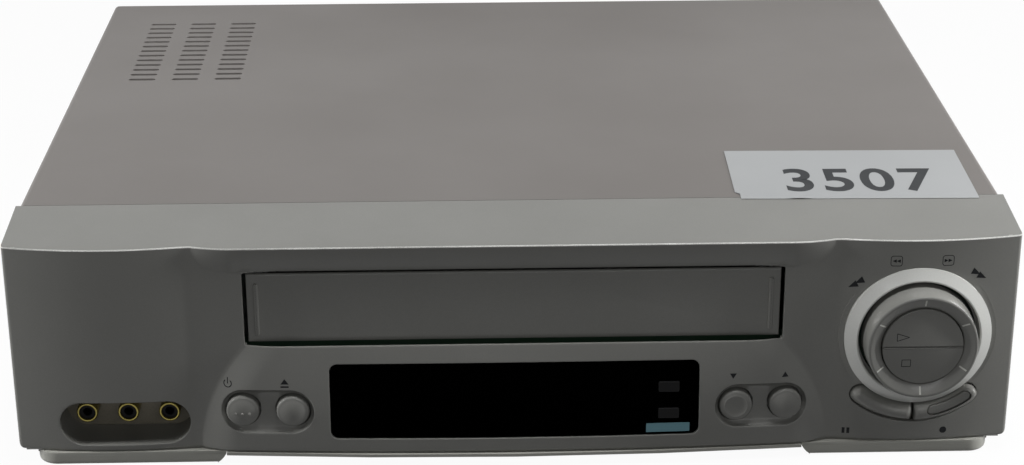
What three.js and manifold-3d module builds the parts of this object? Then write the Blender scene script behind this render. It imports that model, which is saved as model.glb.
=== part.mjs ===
// A front-loading video cassette recorder, built as an assembly of separate pieces.
// Millimetres. X runs to the user's right, Y from the front to the back, Z up.
// Heights count from the lower edge of the front panel, depths from its outer front corners.
import * as THREE from "three";
import { mergeVertices } from "three/addons/utils/BufferGeometryUtils.js";
import Module from "manifold-3d";

const wasm = await Module();
wasm.setup();

// Standard cassette, which sets the slot, the holder and the width of the deck
const cassetteWidth = 187;
const cassetteThick = 25;
const slotPlay = 8.1;
const slotWidth = cassetteWidth + slotPlay * 2;

// Case: a field on each side of the slot
const fieldWidth = 88.4;
const caseWidth = slotWidth + fieldWidth * 2;
const faceHeight = 83.4;
const coverHeight = 86.6;
const stripDepth = 34;
const caseDepth = 299.5;
const footHeight = 5.5;
const panelWall = 2.5;
const panelSole = 14;
const fitGap = 0.3;
const seatGap = 0.05;
const overrun = 6;
const weldReach = 0.0005;
const half = caseWidth / 2;

// Front panel: two bowed side fields with a flat field between them
const bowMargin = 12.4;
const sideField = fieldWidth - bowMargin;
const bowRise = 3.6;
const flatSet = 1.5;
const cornerRound = 4.5;
const bowHalf = sideField / 2;
const bowCentre = half - bowHalf;
const bowSteps = 10;

// Brow over the cassette slot, with the hollow under it
const browSide = 18.9;
const browHalf = slotWidth / 2 + browSide;
const browOut = 3.7;
const browLip = 0.5;
const hollowBack = 0.5;
const hollowDrawIn = 1.6;
const hollowInner = slotWidth / 2 - hollowDrawIn;
const hollowSpread = 22;

// Cassette slot and door
const slotBottom = 43;
const slotTop = 72.2;
const doorSideGap = 1.3;
const doorTopGap = 0.8;
const doorBottomGap = 0.6;
const doorThick = 2;
const doorSet = 0.5;
const hingeDrop = 1.05;
const hingePinRadius = 0.8;
const hingePinLength = 3;
const cheekThick = 2.4;
const cheekDepth = 8;
const ribInset = 3.6;
const ribWidth = 1.8;
const ribRise = 0.6;
const ribMargin = 2.8;

// Raised lower pad
const padFootSide = 18.3;
const padFoot = slotWidth / 2 + padFootSide;
const padDrawIn = 18.7;
const padEdge = 2;
const padCrown = 4.9;
const padPeak = 6;
const padSoft = 14;
const padPlanMargin = 11.1;
const padPlanHalf = padFoot + padPlanMargin;

// Display window, and the two small keys in it
const windowMargin = 31.8;
const windowWidth = slotWidth - windowMargin * 2;
const windowBottom = 6.2;
const windowHeight = 30.2;
const windowRound = 3;
const windowSet = 0.4;
const windowThick = 2;
const smallKeyInset = 11.3;
const smallKeyX = windowWidth / 2 - smallKeyInset;
const smallKeyWidth = 8;
const smallKeyHeight = 4.4;
const menuKeyZ = 25.6;
const setKeyZ = 14.9;
const smallKeyProud = 0.3;

// Round buttons, in pairs in round-ended wells
const buttonRadius = 6.3;
const buttonHeight = 17;
const wellBeside = 23.95;
const wellX = windowWidth / 2 + wellBeside;
const wellWidth = 34.9;
const wellHeight = 17.3;
const wellDeep = 2.2;
const buttonProud = 1;
const buttonFlange = 1;
const buttonEdge = 1.2;
const dishRadius = 4;
const dishDeep = 1.2;
const stemRadius = 2.2;
const buttonSpread = wellWidth / 2 - buttonRadius - 1.6 * buttonEdge + fitGap;

// Dial: fixed bezel, shuttle ring, and the play and stop keys inside it
const dialInset = 37.5;
const dialHeight = 44.3;
const bezelRadius = 27.9;
const bezelWidth = 4.9;
const bezelProud = 1.6;
const bezelRecess = 2.2;
const ringProud = 11;
const ringBase = 22.4;
const ringRim = 20.7;
const ringBore = 15.6;
const ringBevel = 2;
const ringFloat = 0.8;
const ringSkirt = 17.5;
const ringSkirtReach = 5;
const bossRadius = 30;
const bossBack = 1.5;
const keySplit = 0.4;
const keyCap = 4;
const keySet = 1;
const keyStemWidth = 8;
const keyStemHeight = 4;
const keyStemOut = 6;

// Pause and record keys: two bands on an arc round the dial
const bandOuter = 36;
const bandEndAngle = 39;
const bandSplitAngle = 0.6;
const bandProud = 1.8;
const bandEdge = 1;
const recordInner = 29.6;
const recordOuter = 33.4;
const recordFromAngle = 13.4;
const recordToAngle = 38.2;
const recordSet = 0.5;

// Front jacks in their recess
const jackInset = 41.6;
const jackHeight = 11.6;
const recessWidth = 49.5;
const recessHeight = 17.7;
const recessWall = 1.5;
const recessBack = 13.6;
const jackPitch = 15.8;
const jackRadius = 4.1;
const jackBore = 1.7;
const jackReach = 7.6;
const jackDrillDepth = 6;
const jackPlate = 3;

// Board behind the keys
const boardSet = 12;
const boardThick = 1.6;
const boardBottom = 3.5;
const boardTop = 40.5;
const boardWingTop = 74;
const boardWingSide = 16.4;
const boardWingX = slotWidth / 2 + boardWingSide;
const boardMargin = 5;
const switchHeight = 3.5;
const switchWidth = 6;
const keyTravel = 1;
const boardPostRadius = 2.5;
const tubeMargin = 14.8;
const tubeWidth = windowWidth - tubeMargin * 2;
const tubeHeight = 20;
const tubeDepth = 7;

// Top cover
const coverSheet = 1;
const coverBend = 6.5;
const coverInset = 1;
const coverHem = 3;
const ventBanks = 3;
const ventBankPitch = 19;
const ventInset = 29;
const ventBankX = ventInset - half;
const ventWidth = 12;
const ventRows = 13;
const ventPitch = 6.9;
const ventFront = 185.3;
const ventSlot = 2;
const tabInset = 70;
const tabX = half - tabInset;
const tabWidth = 16;
const tabHeight = 12;

// Label
const labelInset = 9.5;
const labelRight = half - labelInset;
const labelWidth = 93.5;
const labelBack = 83.5;
const labelDepth = 49.5;
const labelThick = 0.3;
const labelTurnAngle = -0.018;

// Chassis and feet
const floorThick = 1.2;
const lipCentre = 9.6;
const lipEdge = 5.2;
const lipShoulder = 2;
const sideWallThick = 1.5;
const sideWallHeight = 16;
const frontFootShort = 15.4;
const frontFootWidth = fieldWidth - frontFootShort;
const frontFootInset = 6.8;
const lipHalf = half - frontFootInset - frontFootWidth;
const frontFootFront = 3.7;
const frontFootDepth = 28;
const frontFootRound = 8;
const frontFootSlope = 3.4;
const rearFootWidth = 40;
const rearFootDepth = 25;
const rearFootInset = 20;
const rearFootBack = 14;

// Rear panel and what comes through it
const rearSheet = 1;
const rearBottom = 0;
const screwHeadRadius = 3.2;
const screwHeadThick = 1.9;
const screwRadius = 1.4;
const screwLength = 7;
const socketClear = 0.4;
const avX = 0;
const avWidth = 60;
const avBottomHeight = 18;
const avPitch = 20;
const avShellWidth = 47;
const avShellHeight = 13;
const avGroove = 1.6;
const avGrooveDeep = 6;
const avWall = 1.2;
const avBodyDepth = 12;
const avReach = 3;
const rearJackX = 40;
const rearJackReach = 7;
const inletInset = 50;
const inletX = inletInset - half;
const inletHeight = 21;
const inletWidth = 24;
const inletTall = 16;
const inletDepth = 17;
const inletReach = 2;
const inletMouthWidth = 16;
const inletMouthHeight = 8.4;
const inletMouthDeep = 13;
const inletPinPitch = 8.6;
const inletPinRadius = 1.2;
const inletPinLength = 10;
const tunerInset = 45;
const tunerX = half - tunerInset;
const tunerWidth = 54;
const tunerDepth = 48;
const tunerTall = 32;
const aerialPitch = 26;
const aerialHeight = 24;
const aerialRadius = 5.5;
const aerialBore = 4.2;
const aerialReach = 8.5;
const aerialDeep = 9;
const aerialPin = 1.1;

// Main board and the power supply on it
const mainBoardBottom = 4.5;
const mainBoardThick = 1.6;
const mainBoardFront = 22;
const mainBoardBack = 290;
const mainBoardMargin = 4.5;
const standoffRadius = 3;
const standoffInset = 6;
const postRadius = 3.5;
const postHoleRadius = 4.5;
const transformerInset = 37;
const transformerX = transformerInset - half;
const transformerY = 230;
const transformerWidth = 50;
const transformerDepth = 26;
const transformerTall = 38;
const bobbinGrow = 8;
const bobbinMargin = 7;
const capacitorInset = 18;
const capacitorX = capacitorInset - half;
const capacitorY = 275;
const capacitorRadius = 9;
const capacitorTall = 32;
const sinkX = -80;
const sinkY = 276;
const sinkLength = 60;
const sinkTall = 40;
const sinkThick = 2;
const finReach = 9;
const finCount = 5;

// Tape deck
const deckFront = 26;
const deckBack = 262;
const deckTop = 18;
const deckSheet = 1.5;
const deckPostFrontY = 34;
const deckPostBackY = 254;
const plateSheet = 1.2;
const plateFront = 30;
const plateBack = 172;
const plateTop = 79;
const railHeight = 68;
const lugRadius = 1.7;
const carriageSheet = 1.2;
const carriageFront = 31;
const carriageDepth = 91;
const carriageBottom = 37;
const carriageSpace = 1.6;
const sliderThick = 1.7;
const bridgeSet = 60;
const bridgeDepth = 20;
const bridgeHeight = 75.4;
const lugInset = 9;
const holderSheet = 1.2;
const holderPlay = 1.2;
const holderSpace = 0.8;
const holderInside = cassetteWidth / 2 + holderPlay;
const holderOutside = holderInside + holderSheet;
const carriageInside = holderOutside + holderSpace;
const carriageOutside = carriageInside + sliderThick;
const platePlane = carriageOutside + carriageSpace;
const deckBrim = 0.8;
const deckHalf = platePlane + plateSheet + deckBrim;
const deckPostInset = 5;
const deckPostX = deckHalf - deckPostInset;
const holderDepth = 95;
const holderFloorDepth = 62;
const holderFloorBottom = 42.4;
const holderLip = 10;
const holderPinRadius = 1.5;
const holderPinZ = 60;
const holderPinFront = 20;
const holderPinBack = 75;
const carriageStroke = 45;
const holderStroke = 17.9;
const reelX = 46;
const reelY = 122;
const reelHoleRadius = 12;
const reelTableRadius = 16;
const reelTableThick = 3.4;
const spindleRadius = 8;
const spindleTop = 34;
const spindleTip = 2;
const drumX = -5;
const drumY = 221;
const drumRadius = 31;
const drumTiltAngle = 0.104;
const lowerDrumHeight = 20;
const upperDrumHeight = 16;
const drumHubRadius = 9;
const drumHubHeight = 3;
const drumShaftRadius = 3;
const drumShaftLength = 12;
const capstanX = 50;
const capstanY = 191;
const capstanRadius = 2;
const capstanTop = 52;
const flywheelRadius = 24;
const flywheelThick = 7.6;
const bearingRadius = 4.5;
const bearingHeight = 4;
const pinchPivotX = 76;
const pinchPivotY = 181;
const pinchReach = 24;
const pinchRestAngle = 213;
const pinchRollerRadius = 7;
const pinchRollerHeight = 24;
const armThick = 2;
const armHalfWidth = 4;
const armRaise = 2;
const pivotPinRadius = 1.5;
const pivotPinHeight = 8.5;
const rollerPinRadius = 1.5;
const idlerPivotY = 98;
const idlerReach = 24;
const idlerRadius = 14;
const idlerThick = 3;
const idlerArmThick = 1.2;
const idlerPinHeight = 5.6;
const guideStartX = 35;
const guideStartY = 163;
const guideRunX = 7;
const guideRunY = 68;
const guideBaseWidth = 12;
const guideBaseDepth = 10;
const guideBaseThick = 3;
const guideRollerRadius = 3;
const guideRollerBottom = 24;
const guideTop = 50;
const guidePostRadius = 1.6;
const guideSlotHalf = 2.2;
const guideStemRadius = 1.8;
const tensionPivotX = -66;
const tensionPivotY = 147;
const tensionReach = 26;
const tensionRestAngle = 60;
const tensionTop = 50;
const camInset = 22;
const camX = camInset - deckHalf;
const camY = 205;
const camRadius = 15;
const camThick = 4;
const camTeeth = 20;
const camToothDeep = 1.4;
const camPinRadius = 2;
const motorInset = 16;
const motorX = motorInset - deckHalf;
const motorY = 240;
const motorRadius = 7.5;
const motorLength = 26;
const motorSaddle = 5;
const motorHeight = 28;
const headX = 49;
const headY = 211;
const headWidth = 10;
const headDepth = 8;
const headTop = 50;
const headFootGrow = 3;
const headFootThick = 2;

// Facets
const roundSides = 24;
const smallSides = 12;
const arcSteps = 4;

const surface = {
  silver: { color: 0x8d8f8b, roughness: 0.42, metalness: 0.35 },
  silverLight: { color: 0xa9aba6, roughness: 0.36, metalness: 0.4 },
  cover: { color: 0x84807b, roughness: 0.5, metalness: 0.3 },
  smokedWindow: { color: 0x060708, roughness: 0.08, metalness: 0 },
  footPlastic: { color: 0xa3a39d, roughness: 0.55, metalness: 0.05 },
  blackPlastic: { color: 0x17181a, roughness: 0.5, metalness: 0 },
  paper: { color: 0xe6e6e2, roughness: 0.85, metalness: 0 },
  zincSteel: { color: 0xa7aaa8, roughness: 0.38, metalness: 0.9 },
  jackBrass: { color: 0x9b9350, roughness: 0.4, metalness: 0.8 },
  board: { color: 0x3f5a34, roughness: 0.6, metalness: 0 },
  whitePlastic: { color: 0xd8d6cd, roughness: 0.5, metalness: 0 },
  greyPlastic: { color: 0x6d7072, roughness: 0.5, metalness: 0 },
  aluminium: { color: 0xc3c5c4, roughness: 0.3, metalness: 0.95 },
  rubber: { color: 0x1d1c1b, roughness: 0.8, metalness: 0 },
  glass: { color: 0x1c2b2a, roughness: 0.1, metalness: 0 },
  copper: { color: 0x8c5a34, roughness: 0.5, metalness: 0.4 },
};

const vcr = new THREE.Group();

function place(name, geometry, look) {
  geometry.computeVertexNormals();
  const mesh = new THREE.Mesh(geometry, new THREE.MeshStandardMaterial(surface[look]));
  mesh.name = name;
  vcr.add(mesh);
}

// Solids: each geometry is welded on position alone before it is joined or cut.
function toSolid(geometry) {
  const bare = geometry.clone();
  bare.deleteAttribute("normal");
  bare.deleteAttribute("uv");
  const welded = mergeVertices(bare, weldReach);
  return new wasm.Manifold(
    new wasm.Mesh({
      numProp: 3,
      vertProperties: welded.attributes.position.array,
      triVerts: Uint32Array.from(welded.index.array),
    }),
  );
}

function toGeometry(manifold) {
  const mesh = manifold.getMesh();
  const stride = mesh.numProp;
  const positions = new Float32Array(mesh.numVert * 3);
  for (let i = 0; i < mesh.numVert; i++)
    positions.set(mesh.vertProperties.subarray(i * stride, i * stride + 3), i * 3);
  const geometry = new THREE.BufferGeometry();
  geometry.setAttribute("position", new THREE.BufferAttribute(positions, 3));
  geometry.setIndex(new THREE.BufferAttribute(mesh.triVerts, 1));
  return geometry;
}

function join(...pieces) {
  return toGeometry(pieces.map(toSolid).reduce((whole, piece) => whole.add(piece)));
}

function cut(base, ...tools) {
  return toGeometry(tools.map(toSolid).reduce((left, tool) => left.subtract(tool), toSolid(base)));
}

function common(...pieces) {
  return toGeometry(pieces.map(toSolid).reduce((left, piece) => left.intersect(piece)));
}

// A block between two planes along each axis.
function block([x0, x1], [y0, y1], [z0, z1]) {
  return new THREE.BoxGeometry(x1 - x0, y1 - y0, z1 - z0).translate(
    (x0 + x1) / 2,
    (y0 + y1) / 2,
    (z0 + z1) / 2,
  );
}

function about(centre, size) {
  return [centre - size / 2, centre + size / 2];
}

// Round bars along each axis, from one plane to another.
function barX(radius, [x0, x1], y, z, sides = smallSides) {
  return new THREE.CylinderGeometry(radius, radius, x1 - x0, sides)
    .rotateZ(Math.PI / 2)
    .translate((x0 + x1) / 2, y, z);
}

function barY(radius, x, [y0, y1], z, sides = smallSides) {
  return new THREE.CylinderGeometry(radius, radius, y1 - y0, sides).translate(x, (y0 + y1) / 2, z);
}

function barZ(radius, x, y, [z0, z1], sides = smallSides) {
  return new THREE.CylinderGeometry(radius, radius, z1 - z0, sides)
    .rotateX(Math.PI / 2)
    .translate(x, y, (z0 + z1) / 2);
}

// An outline in X and Z, carried along Y; and an outline in X and Y, carried up Z.
function alongY(shape, [y0, y1], bevel = 0) {
  return new THREE.ExtrudeGeometry(shape, {
    depth: y1 - y0 - bevel * 2,
    curveSegments: arcSteps,
    bevelEnabled: bevel > 0,
    bevelThickness: bevel,
    bevelSize: bevel,
    bevelOffset: -bevel,
    bevelSegments: 1,
  })
    .rotateX(Math.PI / 2)
    .translate(0, y1 - bevel, 0);
}

function alongZ(shape, [z0, z1]) {
  return new THREE.ExtrudeGeometry(shape, {
    depth: z1 - z0,
    curveSegments: arcSteps,
    bevelEnabled: false,
  }).translate(0, 0, z0);
}

function outline(points) {
  return new THREE.Shape(points.map(([x, y]) => new THREE.Vector2(x, y)));
}

function rounded([x0, x1], [y0, y1], radius) {
  const shape = new THREE.Shape();
  shape.absarc(x1 - radius, y0 + radius, radius, -Math.PI / 2, 0, false);
  shape.absarc(x1 - radius, y1 - radius, radius, 0, Math.PI / 2, false);
  shape.absarc(x0 + radius, y1 - radius, radius, Math.PI / 2, Math.PI, false);
  shape.absarc(x0 + radius, y0 + radius, radius, Math.PI, Math.PI * 1.5, false);
  return shape;
}

function stadium(x, z, width, height) {
  return rounded(about(x, width), about(z, height), height / 2);
}

// A profile of radius and distance, turned about an axis along Y or along Z.
function turnedY(profile, x, z, sides = roundSides) {
  return new THREE.LatheGeometry(outlinePoints(profile), sides).translate(x, 0, z);
}

function turnedZ(profile, x, y, sides = roundSides) {
  return new THREE.LatheGeometry(outlinePoints(profile), sides).rotateX(Math.PI / 2).translate(x, y, 0);
}

function outlinePoints(profile) {
  return profile.map(([r, h]) => new THREE.Vector2(r, h));
}

// A closed solid between two grids of points: near faces the front and far the back.
function between(columns, rows, near, far) {
  const positions = [];
  for (const side of [near, far])
    for (let j = 0; j <= rows; j++)
      for (let i = 0; i <= columns; i++) positions.push(...side(i, j));
  const step = (columns + 1) * (rows + 1);
  const front = (i, j) => j * (columns + 1) + i;
  const back = (i, j) => step + front(i, j);
  const index = [];
  const quad = (a, b, c, d) => index.push(a, b, c, a, c, d);
  for (let j = 0; j < rows; j++)
    for (let i = 0; i < columns; i++) {
      quad(front(i, j), front(i + 1, j), front(i + 1, j + 1), front(i, j + 1));
      quad(back(i, j), back(i, j + 1), back(i + 1, j + 1), back(i + 1, j));
    }
  for (let i = 0; i < columns; i++) {
    quad(front(i, 0), back(i, 0), back(i + 1, 0), front(i + 1, 0));
    quad(front(i, rows), front(i + 1, rows), back(i + 1, rows), back(i, rows));
  }
  for (let j = 0; j < rows; j++) {
    quad(front(0, j), front(0, j + 1), back(0, j + 1), back(0, j));
    quad(front(columns, j), back(columns, j), back(columns, j + 1), front(columns, j + 1));
  }
  const geometry = new THREE.BufferGeometry();
  geometry.setAttribute("position", new THREE.Float32BufferAttribute(positions, 3));
  geometry.setIndex(index);
  return geometry;
}

const mix = (a, b, share) => a + (b - a) * share;

// Front panel surfaces
const flatX = bowCentre - bowHalf * Math.sqrt(1 - flatSet / bowRise);

function faceY(x) {
  const reach = Math.abs(x);
  if (reach < flatX) return -flatSet;
  const share = (reach - bowCentre) / bowHalf;
  return -bowRise * (1 - share * share);
}

function padHalf(z) {
  const share = z / slotBottom;
  return padFoot - padDrawIn * share * share;
}

// The pad stands out most low down and in the middle, and dies away at its curved ends.
function padY(x, z) {
  const across = x / padPlanHalf;
  const up = (z - padPeak) / (slotBottom - padPeak);
  const crown = padCrown * (1 - across * across) * (1 - up * up);
  const end = Math.min(1, Math.max(0, padHalf(z) - Math.abs(x)) / padSoft);
  return -flatSet - (padEdge + crown) * (1 - (1 - end) * (1 - end));
}

// Panel body: the plan outline, cut by the sloping top and by the front outline
function panelBlock(inset, back) {
  const side = half - inset;
  const plan = [[-side, back]];
  const field = (sign) => {
    const points = [];
    for (let i = 0; i <= bowSteps; i++) {
      const x = mix(half, flatX, i / bowSteps);
      points.push([sign * Math.min(x, side), faceY(x) + inset]);
    }
    return points;
  };
  plan.push(...field(-1), ...field(1).reverse(), [side, back]);
  const body = alongZ(outline(plan), [inset, coverHeight]);
  const front = alongY(
    rounded([-side, side], [inset, coverHeight + overrun], cornerRound - inset / 2),
    [-overrun * 2, back],
  );
  return common(body, front, underSlope(inset, back, side));
}

// Everything under the sloping top strip.
function underSlope(inset, back, side) {
  const slope = (coverHeight - faceHeight) / (stripDepth + browOut);
  const front = -overrun * 2;
  const profile = new THREE.Shape();
  profile.moveTo(front, 0);
  profile.lineTo(back, 0);
  profile.lineTo(back, coverHeight - inset + slope * (back - stripDepth));
  profile.lineTo(front, coverHeight - inset + slope * (front - stripDepth));
  profile.closePath();
  return new THREE.ExtrudeGeometry(profile, { depth: side * 2, bevelEnabled: false })
    .rotateY(Math.PI / 2)
    .rotateX(Math.PI / 2)
    .translate(-side, 0, 0);
}

// The hollow between the brow's edge and the top of the cassette slot
const hollowTop = faceHeight - browLip;
function hollowCutter() {
  const columnShares = [-1, -0.97, -0.9, -0.78, -0.4, 0.4, 0.78, 0.9, 0.97, 1];
  const rowShares = [0, 0.2, 0.5, 0.8, 1];
  const z = (j) => mix(slotTop, hollowTop, rowShares[j]);
  const reach = (j) => {
    const drop = 1 - rowShares[j];
    return hollowInner + hollowSpread * Math.sqrt(1 - drop * drop);
  };
  const x = (i, j) => columnShares[i] * reach(j);
  const back = (i, j) => {
    const middle = mix(hollowBack, -browOut, rowShares[j]);
    return mix(-flatSet, middle, 1 - columnShares[i] ** 8);
  };
  return between(
    columnShares.length - 1,
    rowShares.length - 1,
    (i, j) => [x(i, j), -overrun * 2, z(j)],
    (i, j) => [x(i, j), back(i, j), z(j)],
  );
}

// The pad's own solid, whose columns follow its curved ends
function padSolid() {
  const endShares = [0, 0.12, 0.35, 0.65, 1];
  const rowShares = [0, 0.14, 0.35, 0.6, 0.8, 1];
  const middle = 6;
  const columns = 2 * (endShares.length - 1) + middle;
  const x = (i, j) => {
    const edge = padHalf(mix(0, slotBottom, rowShares[j]));
    const inner = edge - padSoft;
    const last = endShares.length - 1;
    if (i <= last) return -edge + endShares[i] * padSoft;
    if (i >= columns - last) return edge - endShares[columns - i] * padSoft;
    return mix(-inner, inner, (i - last) / middle);
  };
  const z = (j) => mix(0, slotBottom, rowShares[j]);
  return between(
    columns,
    rowShares.length - 1,
    (i, j) => [x(i, j), padY(x(i, j), z(j)), z(j)],
    (i, j) => [x(i, j), 0, z(j)],
  );
}

// Dial and band places
const dialX = half - dialInset;
const bezelFloor = faceY(dialX) + bezelRecess;
const ringFront = faceY(dialX) - ringProud;
const bandInner = bezelRadius + fitGap;
const down = -Math.PI / 2;
const turn = (degrees) => down + THREE.MathUtils.degToRad(degrees);

// A band on an arc, with a round end where one is asked for.
function band(inner, outer, from, to, roundFrom, roundTo) {
  const middle = (inner + outer) / 2;
  const cap = (outer - inner) / 2;
  const a = turn(from);
  const b = turn(to);
  const shape = new THREE.Shape();
  shape.absarc(0, 0, outer, a, b, false);
  if (roundTo) shape.absarc(middle * Math.cos(b), middle * Math.sin(b), cap, b, b + Math.PI, false);
  shape.absarc(0, 0, inner, b, a, true);
  if (roundFrom)
    shape.absarc(middle * Math.cos(a), middle * Math.sin(a), cap, a + Math.PI, a + Math.PI * 2, false);
  return shape;
}

const jackX = -(half - jackInset);
const boardFace = boardSet;
const switchFace = boardFace - switchHeight;
const stemEnd = switchFace - keyTravel - fitGap;
const recordAngle = turn((recordFromAngle + recordToAngle) / 2);
const pauseAngle = turn(-(bandEndAngle + bandSplitAngle) / 2);
const bandMiddle = (bandInner + bandOuter) / 2;
const recordMiddle = (recordInner + recordOuter) / 2;
const roundKeys = {
  standby_button: -wellX - buttonSpread,
  eject_button: -wellX + buttonSpread,
  channel_down_button: wellX - buttonSpread,
  channel_up_button: wellX + buttonSpread,
};
const switchPlaces = [
  ...Object.values(roundKeys).map((x) => [x, buttonHeight]),
  [smallKeyX, menuKeyZ],
  [smallKeyX, setKeyZ],
  [dialX, dialHeight + keyStemOut],
  [dialX, dialHeight - keyStemOut],
  [dialX + bandMiddle * Math.cos(pauseAngle), dialHeight + bandMiddle * Math.sin(pauseAngle)],
  [dialX + recordMiddle * Math.cos(recordAngle), dialHeight + recordMiddle * Math.sin(recordAngle)],
];
const boardPosts = [
  [-boardWingX + boardMargin, boardTop - boardMargin],
  [-boardWingX + boardMargin, boardBottom + boardMargin],
  [half - boardMargin * 2, boardWingTop - boardMargin],
  [half - boardMargin * 2, boardBottom + boardMargin],
];

const doorHalf = slotWidth / 2 - doorSideGap;
const doorTop = slotTop - doorTopGap;
const doorBottom = slotBottom + doorBottomGap;
const hingeZ = doorTop - hingeDrop;
const hingeY = doorSet + doorThick / 2;
const cheekIn = slotWidth / 2 + fitGap;

function frontPanel() {
  const shell = cut(panelBlock(0, stripDepth), panelBlock(panelWall, stripDepth + overrun));
  const brow = common(
    block([-browHalf, browHalf], [-browOut, 0], [slotTop, coverHeight]),
    underSlope(0, stripDepth, half),
  );
  const header = block([-browHalf, browHalf], [0, hollowBack + panelWall], [slotTop, hollowTop]);
  const cheeks = [-1, 1].map((side) =>
    block(
      [side * cheekIn, side * (cheekIn + cheekThick)].sort((a, b) => a - b),
      [-fitGap, cheekDepth],
      [hingeZ - cheekDepth, slotTop + fitGap],
    ),
  );
  const boss = barY(bossRadius, dialX, [faceY(dialX) + fitGap, bossBack], dialHeight, roundSides);
  const tub = alongY(
    stadium(jackX, jackHeight, recessWidth + recessWall * 2, recessHeight + recessWall * 2),
    [-fitGap, recessBack],
  );
  const posts = boardPosts.map(([x, z]) => barY(boardPostRadius, x, [-fitGap, boardFace - seatGap], z));
  const solid = join(shell, brow, header, ...cheeks, boss, tub, padSolid(), ...posts);
  const through = [-overrun * 2, overrun];
  const slot = block([-slotWidth / 2, slotWidth / 2], through, [slotBottom, slotTop]);
  const pins = [-1, 1].map((side) =>
    barX(
      hingePinRadius + fitGap,
      [side * (doorHalf - fitGap), side * (cheekIn + cheekThick + fitGap)].sort((a, b) => a - b),
      hingeY,
      hingeZ,
    ),
  );
  const window = alongY(
    rounded(
      about(0, windowWidth + fitGap * 2),
      [windowBottom - fitGap, windowBottom + windowHeight + fitGap],
      windowRound,
    ),
    through,
  );
  const wellFloor = padY(wellX, buttonHeight) + wellDeep;
  const wells = [-1, 1].map((side) =>
    alongY(stadium(side * wellX, buttonHeight, wellWidth, wellHeight), [-overrun * 2, wellFloor]),
  );
  const holes = Object.values(roundKeys).map((x) =>
    barY(buttonRadius + fitGap, x, through, buttonHeight, roundSides),
  );
  const bezelSeat = barY(
    bezelRadius + fitGap,
    dialX,
    [-overrun * 2, bezelFloor],
    dialHeight,
    roundSides * 2,
  );
  const ringHole = barY(ringSkirt + fitGap, dialX, through, dialHeight, roundSides);
  const bands = alongY(
    band(bezelRadius - fitGap, bandOuter + fitGap, -bandEndAngle, bandEndAngle, true, true),
    through,
  ).translate(dialX, 0, dialHeight);
  const recess = alongY(
    stadium(jackX, jackHeight, recessWidth, recessHeight),
    [-overrun * 2, recessBack + overrun],
  );
  const sole = block(
    about(0, caseWidth - panelWall * 4),
    [panelSole, stripDepth + overrun],
    [-overrun, panelWall + fitGap],
  );
  const cuts = [hollowCutter(), slot, ...pins, window, ...wells, ...holes, sole];
  return cut(solid, ...cuts, bezelSeat, ringHole, bands, recess);
}
place("front_panel", frontPanel(), "silver");

// Cassette door: ribbed flap on two pins at its top edge, with its upper edge rounded off
function cassetteDoor() {
  const back = doorSet + doorThick;
  const profile = new THREE.Shape();
  profile.moveTo(doorSet, doorBottom);
  profile.lineTo(back, doorBottom);
  profile.absarc(hingeY, hingeZ, doorThick / 2, 0, Math.PI, false);
  profile.closePath();
  const leaf = new THREE.ExtrudeGeometry(profile, {
    depth: doorHalf * 2,
    curveSegments: arcSteps,
    bevelEnabled: false,
  })
    .rotateY(Math.PI / 2)
    .rotateX(Math.PI / 2)
    .translate(-doorHalf, 0, 0);
  const ribs = [-1, 1].map((side) =>
    alongY(
      rounded(
        about(side * (doorHalf - ribInset), ribWidth),
        [doorBottom + ribMargin, hingeZ - ribMargin],
        ribWidth / 2,
      ),
      [doorSet - ribRise, hingeY],
    ),
  );
  const pinReach = doorHalf + hingePinLength;
  const pin = barX(hingePinRadius, [-pinReach, pinReach], hingeY, hingeZ);
  return join(leaf, ...ribs, pin);
}
place("cassette_door", cassetteDoor(), "silver");

// Display window: a smoked plate that follows the pad, pierced for the two small keys
function padPatch([x0, x1], [z0, z1], nearShift, farShift, columns, rows) {
  const x = (i) => mix(x0, x1, i / columns);
  const z = (j) => mix(z0, z1, j / rows);
  return between(
    columns,
    rows,
    (i, j) => [x(i), padY(x(i), z(j)) + nearShift, z(j)],
    (i, j) => [x(i), padY(x(i), z(j)) + farShift, z(j)],
  );
}

const windowTop = windowBottom + windowHeight;
const smallKeys = { menu_button: menuKeyZ, set_button: setKeyZ };

function displayWindow() {
  const plate = common(
    padPatch(
      about(0, windowWidth),
      [windowBottom, windowTop],
      windowSet,
      windowSet + windowThick,
      arcSteps * 2,
      arcSteps,
    ),
    alongY(rounded(about(0, windowWidth), [windowBottom, windowTop], windowRound), [
      -overrun * 2,
      overrun,
    ]),
  );
  const holes = Object.values(smallKeys).map((z) =>
    block(
      about(smallKeyX, smallKeyWidth + fitGap * 2),
      [-overrun * 2, overrun],
      about(z, smallKeyHeight + fitGap * 2),
    ),
  );
  return cut(plate, ...holes);
}
place("display_window", displayWindow(), "smokedWindow");

for (const [name, z] of Object.entries(smallKeys)) {
  const front = padY(smallKeyX, z) + windowSet - smallKeyProud;
  const head = block(about(smallKeyX, smallKeyWidth), [front, 0], about(z, smallKeyHeight));
  const stem = barY(stemRadius - fitGap, smallKeyX, [-fitGap, stemEnd], z);
  place(name, join(head, stem), "blackPlastic");
}

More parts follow.
